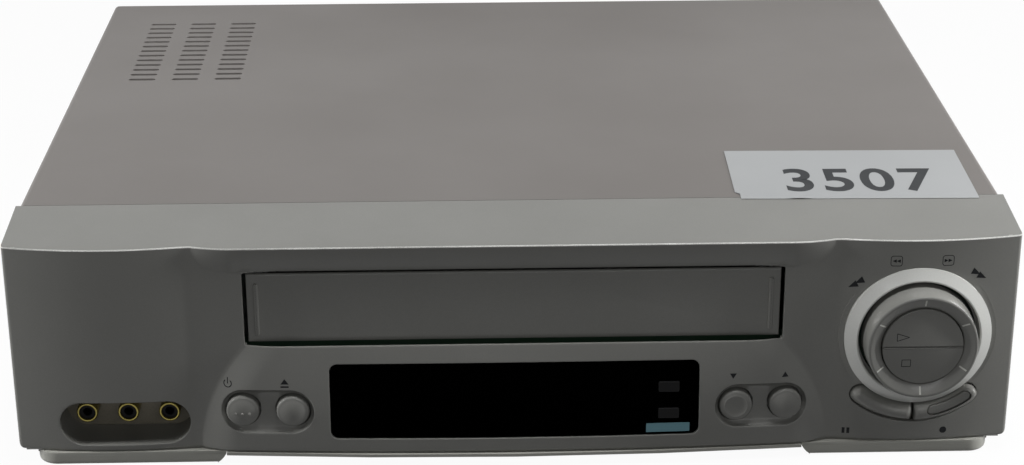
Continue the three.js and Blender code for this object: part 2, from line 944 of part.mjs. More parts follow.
// Round buttons: a shallow dome, or a dished face, with a flange behind the panel and a stem
function roundButton(x, dished) {
  const front = padY(x, buttonHeight) - buttonProud;
  const seat = panelWall - flatSet + fitGap;
  const face = dished
    ? [
        [0, front + dishDeep],
        [dishRadius * 0.6, front + dishDeep * 0.7],
        [dishRadius, front],
      ]
    : [
        [0, front - buttonEdge / 4],
        [buttonRadius * 0.6, front],
      ];
  const profile = [
    ...face,
    [buttonRadius - buttonEdge, front + buttonEdge / 4],
    [buttonRadius, front + buttonEdge],
    [buttonRadius, seat],
    [buttonRadius + buttonFlange, seat],
    [buttonRadius + buttonFlange, seat + buttonFlange],
    [stemRadius, seat + buttonFlange],
    [stemRadius, stemEnd],
    [0, stemEnd],
  ];
  return turnedY(profile, x, buttonHeight);
}
for (const [name, x] of Object.entries(roundKeys))
  place(name, roundButton(x, name === "channel_down_button"), "silver");

// Dial bezel: a fixed ring, rounded over its outer edge
function dialBezel() {
  const back = bezelFloor - seatGap;
  const front = faceY(dialX) - bezelProud;
  const inner = bezelRadius - bezelWidth;
  const profile = [
    [inner, back],
    [inner, front + bezelProud / 2],
    [inner + bezelWidth * 0.2, front],
    [inner + bezelWidth * 0.65, front + bezelProud * 0.2],
    [bezelRadius, front + bezelProud],
    [bezelRadius, back],
    [inner, back],
  ];
  return turnedY(profile, dialX, dialHeight, roundSides * 2);
}
place("dial_bezel", dialBezel(), "silverLight");

// Shuttle ring: a proud flared ring with a dished annulus, on a skirt that turns in the panel
function shuttleRing() {
  const base = bezelFloor - ringFloat;
  const profile = [
    [ringBore, ringFront + ringBevel],
    [ringRim - bezelProud / 2, ringFront],
    [ringRim, ringFront + bezelProud / 4],
    [ringBase, base],
    [ringSkirt, base],
    [ringSkirt, ringSkirtReach],
    [ringBore, ringSkirtReach],
    [ringBore, ringFront + ringBevel],
  ];
  return turnedY(profile, dialX, dialHeight, roundSides * 2);
}
place("shuttle_ring", shuttleRing(), "silver");

// Play and stop keys: two half discs inside the ring, each with its stem
function halfKey(sign) {
  const radius = ringBore - fitGap - keySplit / 2;
  const shape = new THREE.Shape();
  shape.absarc(0, 0, radius, sign > 0 ? 0 : Math.PI, sign > 0 ? Math.PI : Math.PI * 2, false);
  const front = ringFront + keySet;
  const cap = alongY(shape, [front, front + keyCap], keySplit).translate(
    dialX,
    0,
    dialHeight + (sign * keySplit) / 2,
  );
  const stemZ = dialHeight + sign * keyStemOut;
  const stem = block(
    about(dialX, keyStemWidth),
    [front + keyCap / 2, stemEnd],
    about(stemZ, keyStemHeight),
  );
  return join(cap, stem);
}
place("play_button", halfKey(1), "silver");
place("stop_button", halfKey(-1), "silver");

// Pause key, record surround and record key
function bandPiece(shape, front, back, bevel) {
  return alongY(shape, [front, back], bevel).translate(dialX, 0, dialHeight);
}
const bandFront = faceY(dialX) - bandProud;
const bandBack = bossBack + fitGap;

function pauseKey() {
  const shape = band(bandInner, bandOuter, -bandEndAngle, -bandSplitAngle, true, false);
  const [x, z] = [Math.cos(pauseAngle), Math.sin(pauseAngle)].map((share) => share * bandMiddle);
  const stem = barY(stemRadius, dialX + x, [bandBack - fitGap, stemEnd], dialHeight + z);
  return join(bandPiece(shape, bandFront, bandBack, bandEdge), stem);
}
place("pause_button", pauseKey(), "silver");

function recordSurround() {
  const shape = band(bandInner, bandOuter, bandSplitAngle, bandEndAngle, false, true);
  const slot = band(
    recordInner - fitGap,
    recordOuter + fitGap,
    recordFromAngle,
    recordToAngle,
    true,
    true,
  );
  return cut(
    bandPiece(shape, bandFront, bandBack, bandEdge),
    bandPiece(slot, bandFront - overrun, bandBack + overrun, 0),
  );
}
place("record_surround", recordSurround(), "silver");

function recordKey() {
  const shape = band(recordInner, recordOuter, recordFromAngle, recordToAngle, true, true);
  const front = bandFront + recordSet;
  const [x, z] = [Math.cos(recordAngle), Math.sin(recordAngle)].map((share) => share * recordMiddle);
  const stem = barY(
    recordMiddle - recordInner - fitGap,
    dialX + x,
    [bandBack - fitGap, stemEnd],
    dialHeight + z,
  );
  return join(bandPiece(shape, front, bandBack, bandEdge / 3), stem);
}
place("record_button", recordKey(), "silver");

// Front jacks: a block behind the recess, and three jacks that stand forward from it
const jackBack = recessBack + fitGap;
place(
  "front_jack_block",
  alongY(
    stadium(jackX, jackHeight, recessWidth + recessWall * 2, recessHeight),
    [jackBack, jackBack + jackPlate],
  ),
  "greyPlastic",
);

function phonoJack(x, [front, back], z) {
  const tip = jackRadius * 0.8;
  const edge = jackRadius - tip;
  const profile = [
    [0, front + jackDrillDepth],
    [jackBore, front + jackDrillDepth],
    [jackBore, front],
    [tip, front],
    [jackRadius, front + edge],
    [jackRadius, back],
    [0, back],
  ];
  return turnedY(profile, x, z, smallSides + arcSteps);
}
["front_jack_video", "front_jack_left", "front_jack_right"].forEach((name, i) => {
  const x = jackX + (i - 1) * jackPitch;
  place(name, phonoJack(x, [jackBack - jackReach, jackBack - seatGap], jackHeight), "jackBrass");
});

// Control board with a switch behind each key, and the display tube in front of it
function controlBoard() {
  const wing = half - boardMargin;
  const shape = outline([
    [-boardWingX, boardBottom],
    [wing, boardBottom],
    [wing, boardWingTop],
    [boardWingX, boardWingTop],
    [boardWingX, boardTop],
    [-boardWingX, boardTop],
  ]);
  const plate = alongY(shape, [boardFace, boardFace + boardThick]);
  const switches = switchPlaces.map(([x, z]) =>
    block(about(x, switchWidth), [switchFace, boardFace + boardThick / 2], about(z, switchWidth)),
  );
  return join(plate, ...switches);
}
place("control_board", controlBoard(), "board");

const tubeX = smallKeyX - smallKeyWidth / 2 - tubeWidth / 2 - boardMargin;
place(
  "display_tube",
  block(
    about(tubeX, tubeWidth),
    [boardFace - fitGap - tubeDepth, boardFace - fitGap],
    about((windowBottom + windowTop) / 2, tubeHeight),
  ),
  "glass",
);

// Top cover: a folded sheet with slotted banks over the power supply and two tabs at the back
const coverHalf = half - coverInset;
const coverFront = stripDepth + fitGap;
const tabFace = caseDepth - coverSheet;
const screwZ = coverHeight - coverSheet - tabHeight / 2;

function topCover() {
  const fold = (inset) => {
    const side = coverHalf - inset;
    const top = coverHeight - inset;
    const shape = new THREE.Shape();
    shape.moveTo(-side, coverHem - inset * overrun);
    shape.lineTo(side, coverHem - inset * overrun);
    const bend = coverBend - inset;
    shape.absarc(side - bend, top - bend, bend, 0, Math.PI / 2, false);
    shape.absarc(bend - side, top - bend, bend, Math.PI / 2, Math.PI, false);
    shape.closePath();
    return shape;
  };
  const outer = alongY(fold(0), [coverFront, caseDepth]);
  const inner = alongY(fold(coverSheet), [coverFront - overrun, caseDepth + overrun]);
  const tabs = [-1, 1].map((side) =>
    cut(
      block(
        about(side * tabX, tabWidth),
        [tabFace, caseDepth],
        [coverHeight - coverSheet - tabHeight, coverHeight - coverSheet / 2],
      ),
      barY(screwRadius + fitGap, side * tabX, [tabFace - overrun, caseDepth + overrun], screwZ),
    ),
  );
  const slots = [];
  for (let bank = 0; bank < ventBanks; bank++)
    for (let row = 0; row < ventRows; row++)
      slots.push(
        block(
          about(ventBankX + bank * ventBankPitch, ventWidth),
          about(ventFront + row * ventPitch, ventSlot),
          [coverHeight - coverSheet - overrun, coverHeight + overrun],
        ),
      );
  return cut(join(cut(outer, inner), ...tabs), ...slots);
}
place("top_cover", topCover(), "cover");

["cover_screw_left", "cover_screw_right"].forEach((name, i) => {
  const head = caseDepth + seatGap;
  const profile = [
    [0, head - screwLength],
    [screwRadius, head - screwLength],
    [screwRadius, head],
    [screwHeadRadius, head],
    [screwHeadRadius, head + screwHeadThick / 2],
    [screwHeadRadius * 0.6, head + screwHeadThick],
    [0, head + screwHeadThick],
  ];
  place(name, turnedY(profile, (i * 2 - 1) * tabX, screwZ, smallSides), "zincSteel");
});

// Paper label, lying a little askew on the cover
place(
  "paper_label",
  new THREE.BoxGeometry(labelWidth, labelDepth, labelThick)
    .rotateZ(labelTurnAngle)
    .translate(
      labelRight - labelWidth / 2,
      labelBack - labelDepth / 2 + fitGap,
      coverHeight + seatGap + labelThick / 2,
    ),
  "paper",
);

// Chassis: a floor that shows as a lip under the pad, side walls, and posts for the deck and board
const floorTop = -fitGap;
const floorBottom = floorTop - floorThick;
const deckUnder = deckTop - deckSheet;
const deckPosts = [
  [-deckPostX, deckPostFrontY],
  [deckPostX, deckPostFrontY],
  [-deckPostX, deckPostBackY],
  [deckPostX, deckPostBackY],
];
const boardHalf = half - mainBoardMargin - coverInset - coverSheet;
const standoffs = [
  [-boardHalf + standoffInset, mainBoardFront + standoffInset],
  [boardHalf - standoffInset, mainBoardFront + standoffInset],
  [-boardHalf + standoffInset, mainBoardBack - standoffInset],
  [boardHalf - standoffInset, mainBoardBack - standoffInset],
];

function chassisTray() {
  const side = coverHalf - coverSheet - fitGap;
  const back = tabFace - fitGap;
  const shape = new THREE.Shape();
  shape.moveTo(-side, back);
  shape.lineTo(-side, lipShoulder);
  shape.lineTo(-lipHalf, lipShoulder);
  shape.lineTo(-lipHalf, -lipEdge);
  shape.quadraticCurveTo(0, -lipCentre * 2 + lipEdge, lipHalf, -lipEdge);
  shape.lineTo(lipHalf, lipShoulder);
  shape.lineTo(side, lipShoulder);
  shape.lineTo(side, back);
  shape.closePath();
  const floor = alongZ(shape, [floorBottom, floorTop]);
  const walls = [-1, 1].map((sign) =>
    block(
      [sign * side, sign * (side - sideWallThick)].sort((a, b) => a - b),
      [stripDepth + fitGap, back],
      [floorBottom, sideWallHeight],
    ),
  );
  const posts = deckPosts.map(([x, y]) => barZ(postRadius, x, y, [floorBottom, deckUnder - seatGap]));
  const rests = standoffs.map(([x, y]) =>
    barZ(standoffRadius, x, y, [floorBottom, mainBoardBottom - seatGap]),
  );
  return join(floor, ...walls, ...posts, ...rests);
}
place("chassis_tray", chassisTray(), "footPlastic");

// Feet: two broad front ones, rounded outside and sloped off inside, and two plain rear ones
const footTop = floorBottom - seatGap;

function frontFoot(sign) {
  const outer = half - frontFootInset;
  const inner = outer - frontFootWidth;
  const front = -frontFootFront;
  const plan = new THREE.Shape();
  plan.moveTo(sign * inner, front + frontFootDepth);
  plan.lineTo(sign * inner, front);
  plan.lineTo(sign * (outer - frontFootRound), front);
  const [from, to] = sign > 0 ? [-Math.PI / 2, 0] : [-Math.PI / 2, -Math.PI];
  plan.absarc(sign * (outer - frontFootRound), front + frontFootRound, frontFootRound, from, to, sign < 0);
  plan.lineTo(sign * outer, front + frontFootDepth);
  plan.closePath();
  const slope = outline([
    [sign * (inner - frontFootSlope), -footHeight - overrun],
    [sign * (inner + frontFootSlope), -footHeight - overrun],
    [sign * (inner + frontFootSlope), -footHeight],
    [sign * inner, footTop],
    [sign * inner, footTop + overrun],
    [sign * (inner - frontFootSlope), footTop + overrun],
  ]);
  const wedge = alongY(slope, [front - overrun, front + frontFootDepth + overrun]);
  return cut(alongZ(plan, [-footHeight, footTop]), wedge);
}
place("front_left_foot", frontFoot(-1), "footPlastic");
place("front_right_foot", frontFoot(1), "footPlastic");

["rear_left_foot", "rear_right_foot"].forEach((name, i) => {
  const sign = i * 2 - 1;
  const x = sign * (half - rearFootInset - rearFootWidth / 2);
  const y = caseDepth - rearFootBack - rearFootDepth / 2;
  place(
    name,
    block(about(x, rearFootWidth), about(y, rearFootDepth), [-footHeight, footTop]),
    "footPlastic",
  );
});

// Rear panel, cut out for what comes through it
const rearOuter = tabFace - fitGap;
const rearInner = rearOuter - rearSheet;
const avBottom = [avBottomHeight, avBottomHeight + avPitch];

function rearPanel() {
  const width = (coverHalf - coverSheet - fitGap) * 2 - fitGap * 2 - sideWallThick * 2;
  const through = [rearInner - overrun, rearOuter + overrun];
  const plate = alongY(
    rounded(about(0, width), [rearBottom, coverHeight - coverSheet - fitGap], coverBend),
    [rearInner, rearOuter],
  );
  const avHoles = avBottom.map((z) =>
    block(about(avX, avShellWidth + socketClear * 2), through, about(z, avShellHeight + socketClear * 2)),
  );
  const jackHoles = avBottom.map((z) => barY(jackRadius + socketClear, avX + rearJackX, through, z));
  const aerialHoles = [-1, 1].map((side) =>
    barY(aerialRadius + socketClear, tunerX + (side * aerialPitch) / 2, through, aerialHeight, smallSides),
  );
  const inletHole = block(
    about(inletX, inletWidth + socketClear * 2),
    through,
    about(inletHeight, inletTall + socketClear * 2),
  );
  const screwHoles = [-1, 1].map((side) =>
    barY(screwRadius + fitGap, side * tabX, through, screwZ),
  );
  return cut(plate, ...avHoles, ...jackHoles, ...aerialHoles, inletHole, ...screwHoles);
}
place("rear_panel", rearPanel(), "zincSteel");

// Rear socket block: two broad shielded sockets one over the other, and two phono jacks beside them
const boardUp = mainBoardBottom + mainBoardThick;

function rearSocketBlock() {
  const front = rearInner - fitGap - avBodyDepth;
  const base = block(
    [avX - avWidth / 2, avX + rearJackX + jackRadius * 2],
    [front, rearInner - fitGap],
    [boardUp + seatGap, avBottom[1] + avShellHeight / 2 + avWall],
  );
  const shells = avBottom.map((z) =>
    block(about(avX, avShellWidth), [front + avWall, rearOuter + avReach], about(z, avShellHeight)),
  );
  const grooves = avBottom.map((z) => {
    const span = [rearOuter + avReach - avGrooveDeep, rearOuter + avReach + overrun];
    const outer = block(about(avX, avShellWidth - avWall * 2), span, about(z, avShellHeight - avWall * 2));
    const grow = (avWall + avGroove) * 2;
    const inner = block(about(avX, avShellWidth - grow), span, about(z, avShellHeight - grow));
    return cut(outer, inner);
  });
  const jacks = avBottom.map((z) =>
    phonoJack(avX + rearJackX, [-rearOuter - rearJackReach, -front - avWall], z).rotateZ(Math.PI).translate(
      (avX + rearJackX) * 2,
      0,
      0,
    ),
  );
  return cut(join(base, ...shells, ...jacks), ...grooves);
}
place("rear_socket_block", rearSocketBlock(), "blackPlastic");

// Mains inlet: a two-pin socket that stands on the board
function mainsInlet() {
  const back = rearOuter + inletReach;
  const body = block(about(inletX, inletWidth), [back - inletDepth, back], about(inletHeight, inletTall));
  const stand = block(
    about(inletX, inletWidth),
    [back - inletDepth, rearInner - fitGap],
    [boardUp + seatGap, inletHeight],
  );
  const mouth = alongY(stadium(inletX, inletHeight, inletMouthWidth, inletMouthHeight), [
    back - inletMouthDeep,
    back + overrun,
  ]);
  const pins = [-1, 1].map((side) =>
    barY(
      inletPinRadius,
      inletX + (side * inletPinPitch) / 2,
      [back - inletMouthDeep - inletReach / 2, back - inletMouthDeep + inletPinLength],
      inletHeight,
    ),
  );
  return join(cut(join(body, stand), mouth), ...pins);
}
place("mains_inlet", mainsInlet(), "blackPlastic");

// Tuner: a screened can with two aerial sockets
function tunerModule() {
  const back = rearInner - fitGap;
  const can = block(
    about(tunerX, tunerWidth),
    [back - tunerDepth, back],
    [boardUp + seatGap, boardUp + seatGap + tunerTall],
  );
  const sockets = [-1, 1].map((side) => {
    const x = tunerX + (side * aerialPitch) / 2;
    const end = rearOuter + aerialReach;
    const pin = barY(
      aerialPin,
      x,
      [end - aerialDeep - aerialPin, end - aerialPin],
      aerialHeight,
      smallSides / 2,
    );
    const bore = barY(aerialBore, x, [end - aerialDeep, end + overrun], aerialHeight);
    return [barY(aerialRadius, x, [back - aerialPin, end], aerialHeight), bore, pin];
  });
  const tubes = cut(join(can, ...sockets.map(([tube]) => tube)), ...sockets.map(([, bore]) => bore));
  return join(tubes, ...sockets.map(([, , pin]) => pin));
}
place("tuner_module", tunerModule(), "zincSteel");

// Main board under the deck, with holes for the deck's posts
function mainBoard() {
  const plate = block(
    [-boardHalf, boardHalf],
    [mainBoardFront, mainBoardBack],
    [mainBoardBottom, boardUp],
  );
  const holes = deckPosts.map(([x, y]) =>
    barZ(postHoleRadius, x, y, [mainBoardBottom - overrun, boardUp + overrun]),
  );
  return cut(plate, ...holes);
}
place("main_board", mainBoard(), "board");

// Power supply parts on the board
function mainsTransformer() {
  const foot = boardUp + seatGap;
  const core = block(
    about(transformerX, transformerWidth),
    about(transformerY, transformerDepth),
    [foot, foot + transformerTall],
  );
  const bobbin = block(
    about(transformerX, transformerWidth - bobbinMargin * 2),
    about(transformerY, transformerDepth + bobbinGrow * 2),
    [foot + bobbinMargin, foot + transformerTall - bobbinMargin],
  );
  return join(core, bobbin);
}
place("mains_transformer", mainsTransformer(), "greyPlastic");

place(
  "smoothing_capacitor",
  barZ(
    capacitorRadius,
    capacitorX,
    capacitorY,
    [boardUp + seatGap, boardUp + capacitorTall],
    smallSides + arcSteps,
  ),
  "blackPlastic",
);

function heatSink() {
  const foot = boardUp + seatGap;
  const spine = block(about(sinkX, sinkLength), about(sinkY, sinkThick), [foot, foot + sinkTall]);
  const fins = [];
  for (let i = 0; i < finCount; i++) {
    const x = sinkX + (i / (finCount - 1) - 1 / 2) * (sinkLength - sinkThick);
    fins.push(block(about(x, sinkThick), [sinkY - finReach, sinkY], [foot, foot + sinkTall]));
  }
  return join(spine, ...fins);
}
place("heat_sink", heatSink(), "aluminium");

// Deck plate: slotted for the tape guides, with pins for what turns on it
const polar = (x, y, reach, degrees) => {
  const angle = THREE.MathUtils.degToRad(degrees);
  return [x + reach * Math.cos(angle), y + reach * Math.sin(angle)];
};
const guides = [-1, 1].map((side) => ({
  side,
  x: drumX + side * guideStartX,
  y: guideStartY,
  endX: drumX + side * (guideStartX + guideRunX),
  endY: guideStartY + guideRunY,
}));
const pinFoot = deckTop - deckSheet / 2;
const standing = deckTop + fitGap;

function deckPlate() {
  const plate = block([-deckHalf, deckHalf], [deckFront, deckBack], [deckUnder, deckTop]);
  const tracks = guides.map(({ x, y, endX, endY, side }) => {
    const length = Math.hypot(endX - x, endY - y) + guideSlotHalf * 2;
    return new THREE.BoxGeometry(guideSlotHalf * 2, length, overrun * 2)
      .rotateZ(-side * Math.atan2(guideRunX, guideRunY))
      .translate((x + endX) / 2, (y + endY) / 2, deckTop);
  });
  const hole = barZ(capstanRadius * 2, capstanX, capstanY, [deckUnder - overrun, deckTop + overrun]);
  const pins = [
    barZ(pivotPinRadius, pinchPivotX, pinchPivotY, [pinFoot, deckTop + pivotPinHeight]),
    barZ(pivotPinRadius, 0, idlerPivotY, [pinFoot, deckTop + idlerPinHeight]),
    barZ(pivotPinRadius, tensionPivotX, tensionPivotY, [pinFoot, deckTop + idlerPinHeight]),
    barZ(camPinRadius, camX, camY, [pinFoot, standing + camThick]),
  ];
  return join(cut(plate, ...tracks, hole), ...pins);
}
place("deck_plate", deckPlate(), "zincSteel");

// Side plates with a long slot each, in which the carriage's lugs run
const lugPlaces = [carriageFront + lugInset, carriageFront + carriageDepth - lugInset];

["left_side_plate", "right_side_plate"].forEach((name, i) => {
  const sign = i * 2 - 1;
  const span = [sign * platePlane, sign * (platePlane + plateSheet)].sort((a, b) => a - b);
  const plate = block(span, [plateFront, plateBack], [deckTop + seatGap, plateTop]);
  const slot = block(
    [span[0] - overrun, span[1] + overrun],
    [lugPlaces[0] - lugRadius - fitGap, lugPlaces[1] + lugRadius + fitGap + carriageStroke],
    about(railHeight, (lugRadius + fitGap) * 2),
  );
  place(name, cut(plate, slot), "zincSteel");
});

// Carriage: two slotted sliders, joined by a bridge over the cassette
const holderPins = [carriageFront + holderPinFront, carriageFront + holderPinBack];

function cassetteCarriage() {
  const sliders = [-1, 1].map((sign) => {
    const span = [sign * carriageInside, sign * carriageOutside].sort((a, b) => a - b);
    const slider = block(
      span,
      [carriageFront, carriageFront + carriageDepth],
      [carriageBottom, bridgeHeight],
    );
    const slots = holderPins.map((y) =>
      block(
        [span[0] - overrun, span[1] + overrun],
        about(y, (holderPinRadius + fitGap) * 2),
        [
          holderPinZ - holderStroke - holderPinRadius - fitGap,
          holderPinZ + holderPinRadius + fitGap,
        ],
      ),
    );
    return cut(slider, ...slots);
  });
  const bridge = block(
    [-carriageOutside, carriageOutside],
    about(carriageFront + bridgeSet, bridgeDepth),
    [bridgeHeight - carriageSheet, bridgeHeight],
  );
  const lugs = [];
  for (const y of lugPlaces)
    for (const sign of [-1, 1]) {
      const span = [
        sign * (carriageOutside - carriageSheet / 2),
        sign * (platePlane + plateSheet - fitGap / 2),
      ].sort((a, b) => a - b);
      lugs.push(barX(lugRadius, span, y, railHeight));
    }
  return join(...sliders, bridge, ...lugs);
}
place("cassette_carriage", cassetteCarriage(), "zincSteel");

// Holder: an open-topped channel for the cassette, on four pins in the carriage's slots
function cassetteHolder() {
  const roof = holderFloorBottom + holderSheet + cassetteThick + holderPlay;
  const span = [carriageFront, carriageFront + holderDepth];
  const outer = block([-holderOutside, holderOutside], span, [holderFloorBottom, roof + holderSheet]);
  const past = [span[0] - overrun, span[1] + overrun];
  const space = block([-holderInside, holderInside], past, [holderFloorBottom + holderSheet, roof]);
  const mouth = block(
    [-holderInside + holderLip, holderInside - holderLip],
    past,
    [roof - holderSheet, roof + overrun],
  );
  const rear = block(
    [-holderInside, holderInside],
    [carriageFront + holderFloorDepth, past[1]],
    [holderFloorBottom - overrun, roof - holderSheet],
  );
  const reelHoles = [-1, 1].map((side) =>
    barZ(
      reelHoleRadius,
      side * reelX,
      reelY - carriageStroke,
      [holderFloorBottom - overrun, holderFloorBottom + overrun],
      smallSides + arcSteps,
    ),
  );
  const pins = [];
  for (const y of holderPins)
    for (const sign of [-1, 1]) {
      const pin = [sign * (holderOutside - holderSheet / 2), sign * (carriageOutside - fitGap)];
      pins.push(barX(holderPinRadius, pin.sort((a, b) => a - b), y, holderPinZ));
    }
  return join(cut(outer, space, mouth, rear, ...reelHoles), ...pins);
}
place("cassette_holder", cassetteHolder(), "zincSteel");

// Reel tables, each with a tapered spindle
for (const [name, side] of [
  ["supply_reel_table", -1],
  ["take_up_reel_table", 1],
]) {
  const top = standing + reelTableThick;
  const profile = [
    [0, standing],
    [reelTableRadius, standing],
    [reelTableRadius, top],
    [spindleRadius, top],
    [spindleRadius, spindleTop - spindleTip],
    [spindleRadius - spindleTip, spindleTop],
    [0, spindleTop],
  ];
  place(name, turnedZ(profile, side * reelX, reelY), "whitePlastic");
}

// Head drum: a fixed lower drum and a turning upper one, leaned back a little on one axis
const lean = (geometry) =>
  geometry.rotateX(-drumTiltAngle).translate(drumX, drumY, standing + drumRadius * Math.sin(drumTiltAngle));
const drumCutRadius = drumShaftRadius + fitGap;

function lowerDrum() {
  const profile = [
    [0, -drumRadius * drumTiltAngle * 2],
    [drumRadius, -drumRadius * drumTiltAngle * 2],
    [drumRadius, lowerDrumHeight],
    [drumCutRadius, lowerDrumHeight],
    [drumCutRadius, lowerDrumHeight - drumShaftLength - fitGap],
    [0, lowerDrumHeight - drumShaftLength - fitGap],
  ];
  const barrel = lean(turnedZ(profile, 0, 0, roundSides * 2));
  const above = block(
    about(drumX, drumRadius * 3),
    about(drumY, drumRadius * 3),
    [standing, coverHeight],
  );
  return common(barrel, above);
}
place("lower_drum", lowerDrum(), "aluminium");

function upperDrum() {
  const bottom = lowerDrumHeight + fitGap;
  const top = bottom + upperDrumHeight;
  const profile = [
    [0, bottom - drumShaftLength],
    [drumShaftRadius, bottom - drumShaftLength],
    [drumShaftRadius, bottom],
    [drumRadius, bottom],
    [drumRadius, top],
    [drumHubRadius, top],
    [drumHubRadius, top + drumHubHeight],
    [0, top + drumHubHeight],
  ];
  return lean(turnedZ(profile, 0, 0, roundSides * 2));
}
place("upper_drum", upperDrum(), "aluminium");

// Capstan: a shaft in its bearing, with the flywheel under the deck
function capstanFlywheel() {
  const top = deckUnder - fitGap;
  const profile = [
    [0, top - flywheelThick],
    [flywheelRadius, top - flywheelThick],
    [flywheelRadius, top],
    [capstanRadius, top],
    [capstanRadius, capstanTop],
    [0, capstanTop],
  ];
  return turnedZ(profile, capstanX, capstanY);
}
place("capstan_flywheel", capstanFlywheel(), "zincSteel");

function sleeve(inner, outer, [z0, z1], x, y, sides) {
  const profile = [
    [inner, z0],
    [outer, z0],
    [outer, z1],
    [inner, z1],
    [inner, z0],
  ];
  return turnedZ(profile, x, y, sides);
}
place(
  "capstan_bearing",
  sleeve(
    capstanRadius + fitGap,
    bearingRadius,
    [deckTop + seatGap, deckTop + bearingHeight],
    capstanX,
    capstanY,
    roundSides,
  ),
  "copper",
);

// A flat arm from a hub that turns on a deck pin to a boss at its far end.
function arm([x0, y0], [x1, y1], [z0, z1], bore) {
  const length = Math.hypot(x1 - x0, y1 - y0);
  const bar = new THREE.BoxGeometry(length, armHalfWidth * 2 - armThick, z1 - z0)
    .rotateZ(Math.atan2(y1 - y0, x1 - x0))
    .translate((x0 + x1) / 2, (y0 + y1) / 2, (z0 + z1) / 2);
  const hub = barZ(armHalfWidth, x0, y0, [standing, z1]);
  const boss = barZ(armHalfWidth, x1, y1, [z0, z1]);
  return cut(join(bar, hub, boss), barZ(bore, x0, y0, [standing - overrun, z1 + overrun]));
}

const pinBore = pivotPinRadius + fitGap;
const pinchPivot = [pinchPivotX, pinchPivotY];
const pinchEnd = polar(pinchPivotX, pinchPivotY, pinchReach, pinchRestAngle);
const pinchFloor = standing + armRaise;
const pinchBottom = pinchFloor + armThick + fitGap;

function pinchArm() {
  const pin = barZ(rollerPinRadius, ...pinchEnd, [pinchFloor, pinchBottom + pinchRollerHeight + fitGap]);
  return join(arm(pinchPivot, pinchEnd, [pinchFloor, pinchFloor + armThick], pinBore), pin);
}
place("pinch_arm", pinchArm(), "zincSteel");
place(
  "pinch_roller",
  sleeve(
    rollerPinRadius + fitGap,
    pinchRollerRadius,
    [pinchBottom, pinchBottom + pinchRollerHeight],
    ...pinchEnd,
    roundSides,
  ),
  "rubber",
);

// Idler between the reel tables: a wheel hung under a swinging arm
const idlerTop = standing + idlerThick;
const idlerEnd = [0, idlerPivotY + idlerReach];

function idlerArm() {
  const span = [idlerTop + fitGap, idlerTop + fitGap + idlerArmThick];
  const pin = barZ(pivotPinRadius, ...idlerEnd, [standing, span[1]]);
  return join(arm([0, idlerPivotY], idlerEnd, span, pinBore), pin);
}
place("idler_arm", idlerArm(), "zincSteel");
place(
  "idler_wheel",
  sleeve(pinBore, idlerRadius, [standing, idlerTop], ...idlerEnd, roundSides),
  "whitePlastic",
);

// Tape guides: a sliding base with a stem in the deck's slot and a roller post
for (const { side, x, y } of guides) {
  const base = block(
    about(x, guideBaseWidth),
    about(y, guideBaseDepth),
    [standing, standing + guideBaseThick],
  );
  const profile = [
    [0, deckUnder + fitGap],
    [guideStemRadius, deckUnder + fitGap],
    [guideStemRadius, guideRollerBottom],
    [guideRollerRadius, guideRollerBottom],
    [guideRollerRadius, guideTop - guideRollerRadius],
    [guidePostRadius, guideTop - guideRollerRadius],
    [guidePostRadius, guideTop],
    [0, guideTop],
  ];
  const name = side < 0 ? "supply_guide" : "take_up_guide";
  place(name, join(base, turnedZ(profile, x, y, smallSides)), "zincSteel");
}

// Tension arm: its post feels the tape near the supply reel
const tensionEnd = polar(tensionPivotX, tensionPivotY, tensionReach, tensionRestAngle);

function tensionArm() {
  const low = standing + armRaise;
  const pin = barZ(pivotPinRadius, ...tensionEnd, [low, tensionTop]);
  return join(arm([tensionPivotX, tensionPivotY], tensionEnd, [low, low + armThick], pinBore), pin);
}
place("tension_arm", tensionArm(), "zincSteel");

// Loading drive: a toothed cam on its pin, and the motor in its saddle
function camGear() {
  const points = [];
  const steps = camTeeth * 4;
  for (let i = 0; i < steps; i++) {
    const radius = i % 4 < 2 ? camRadius : camRadius - camToothDeep;
    const angle = ((i + (i % 2 ? -1 : 1) / 4) / steps) * Math.PI * 2;
    points.push([radius * Math.cos(angle), radius * Math.sin(angle)]);
  }
  const disc = alongZ(outline(points), [standing, standing + camThick]).translate(camX, camY, 0);
  return cut(disc, barZ(camPinRadius + fitGap, camX, camY, [standing - overrun, standing + overrun]));
}
place("cam_gear", camGear(), "whitePlastic");

function loadingMotor() {
  const span = about(motorX, motorLength);
  const can = barX(motorRadius, span, motorY, motorHeight, smallSides + arcSteps);
  const saddle = block(
    [span[0] + motorSaddle, span[1] - motorSaddle],
    about(motorY, motorRadius * 2),
    [deckTop + seatGap, motorHeight - motorRadius / 2],
  );
  return join(can, saddle);
}
place("loading_motor", loadingMotor(), "zincSteel");

// Audio and control head on its foot, between the drum and the capstan
function controlHead() {
  const foot = block(
    about(headX, headWidth + headFootGrow),
    about(headY, headDepth + headFootGrow),
    [deckTop + seatGap, deckTop + headFootThick],
  );
  const head = block(about(headX, headWidth), about(headY, headDepth), [deckTop + seatGap * 2, headTop]);
  return join(foot, head);
}
place("audio_control_head", controlHead(), "greyPlastic");

// The part stands on its feet, centred over its own footprint.
const frontReach = ringFront;
const backReach = rearOuter + aerialReach;
vcr.position.set(0, -(frontReach + backReach) / 2, footHeight);

export default new THREE.Group().add(vcr);
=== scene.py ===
"""Looks of a front-loading video cassette recorder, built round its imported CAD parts."""

import bmesh
import bpy
import numpy as np
from mathutils import Matrix, Vector


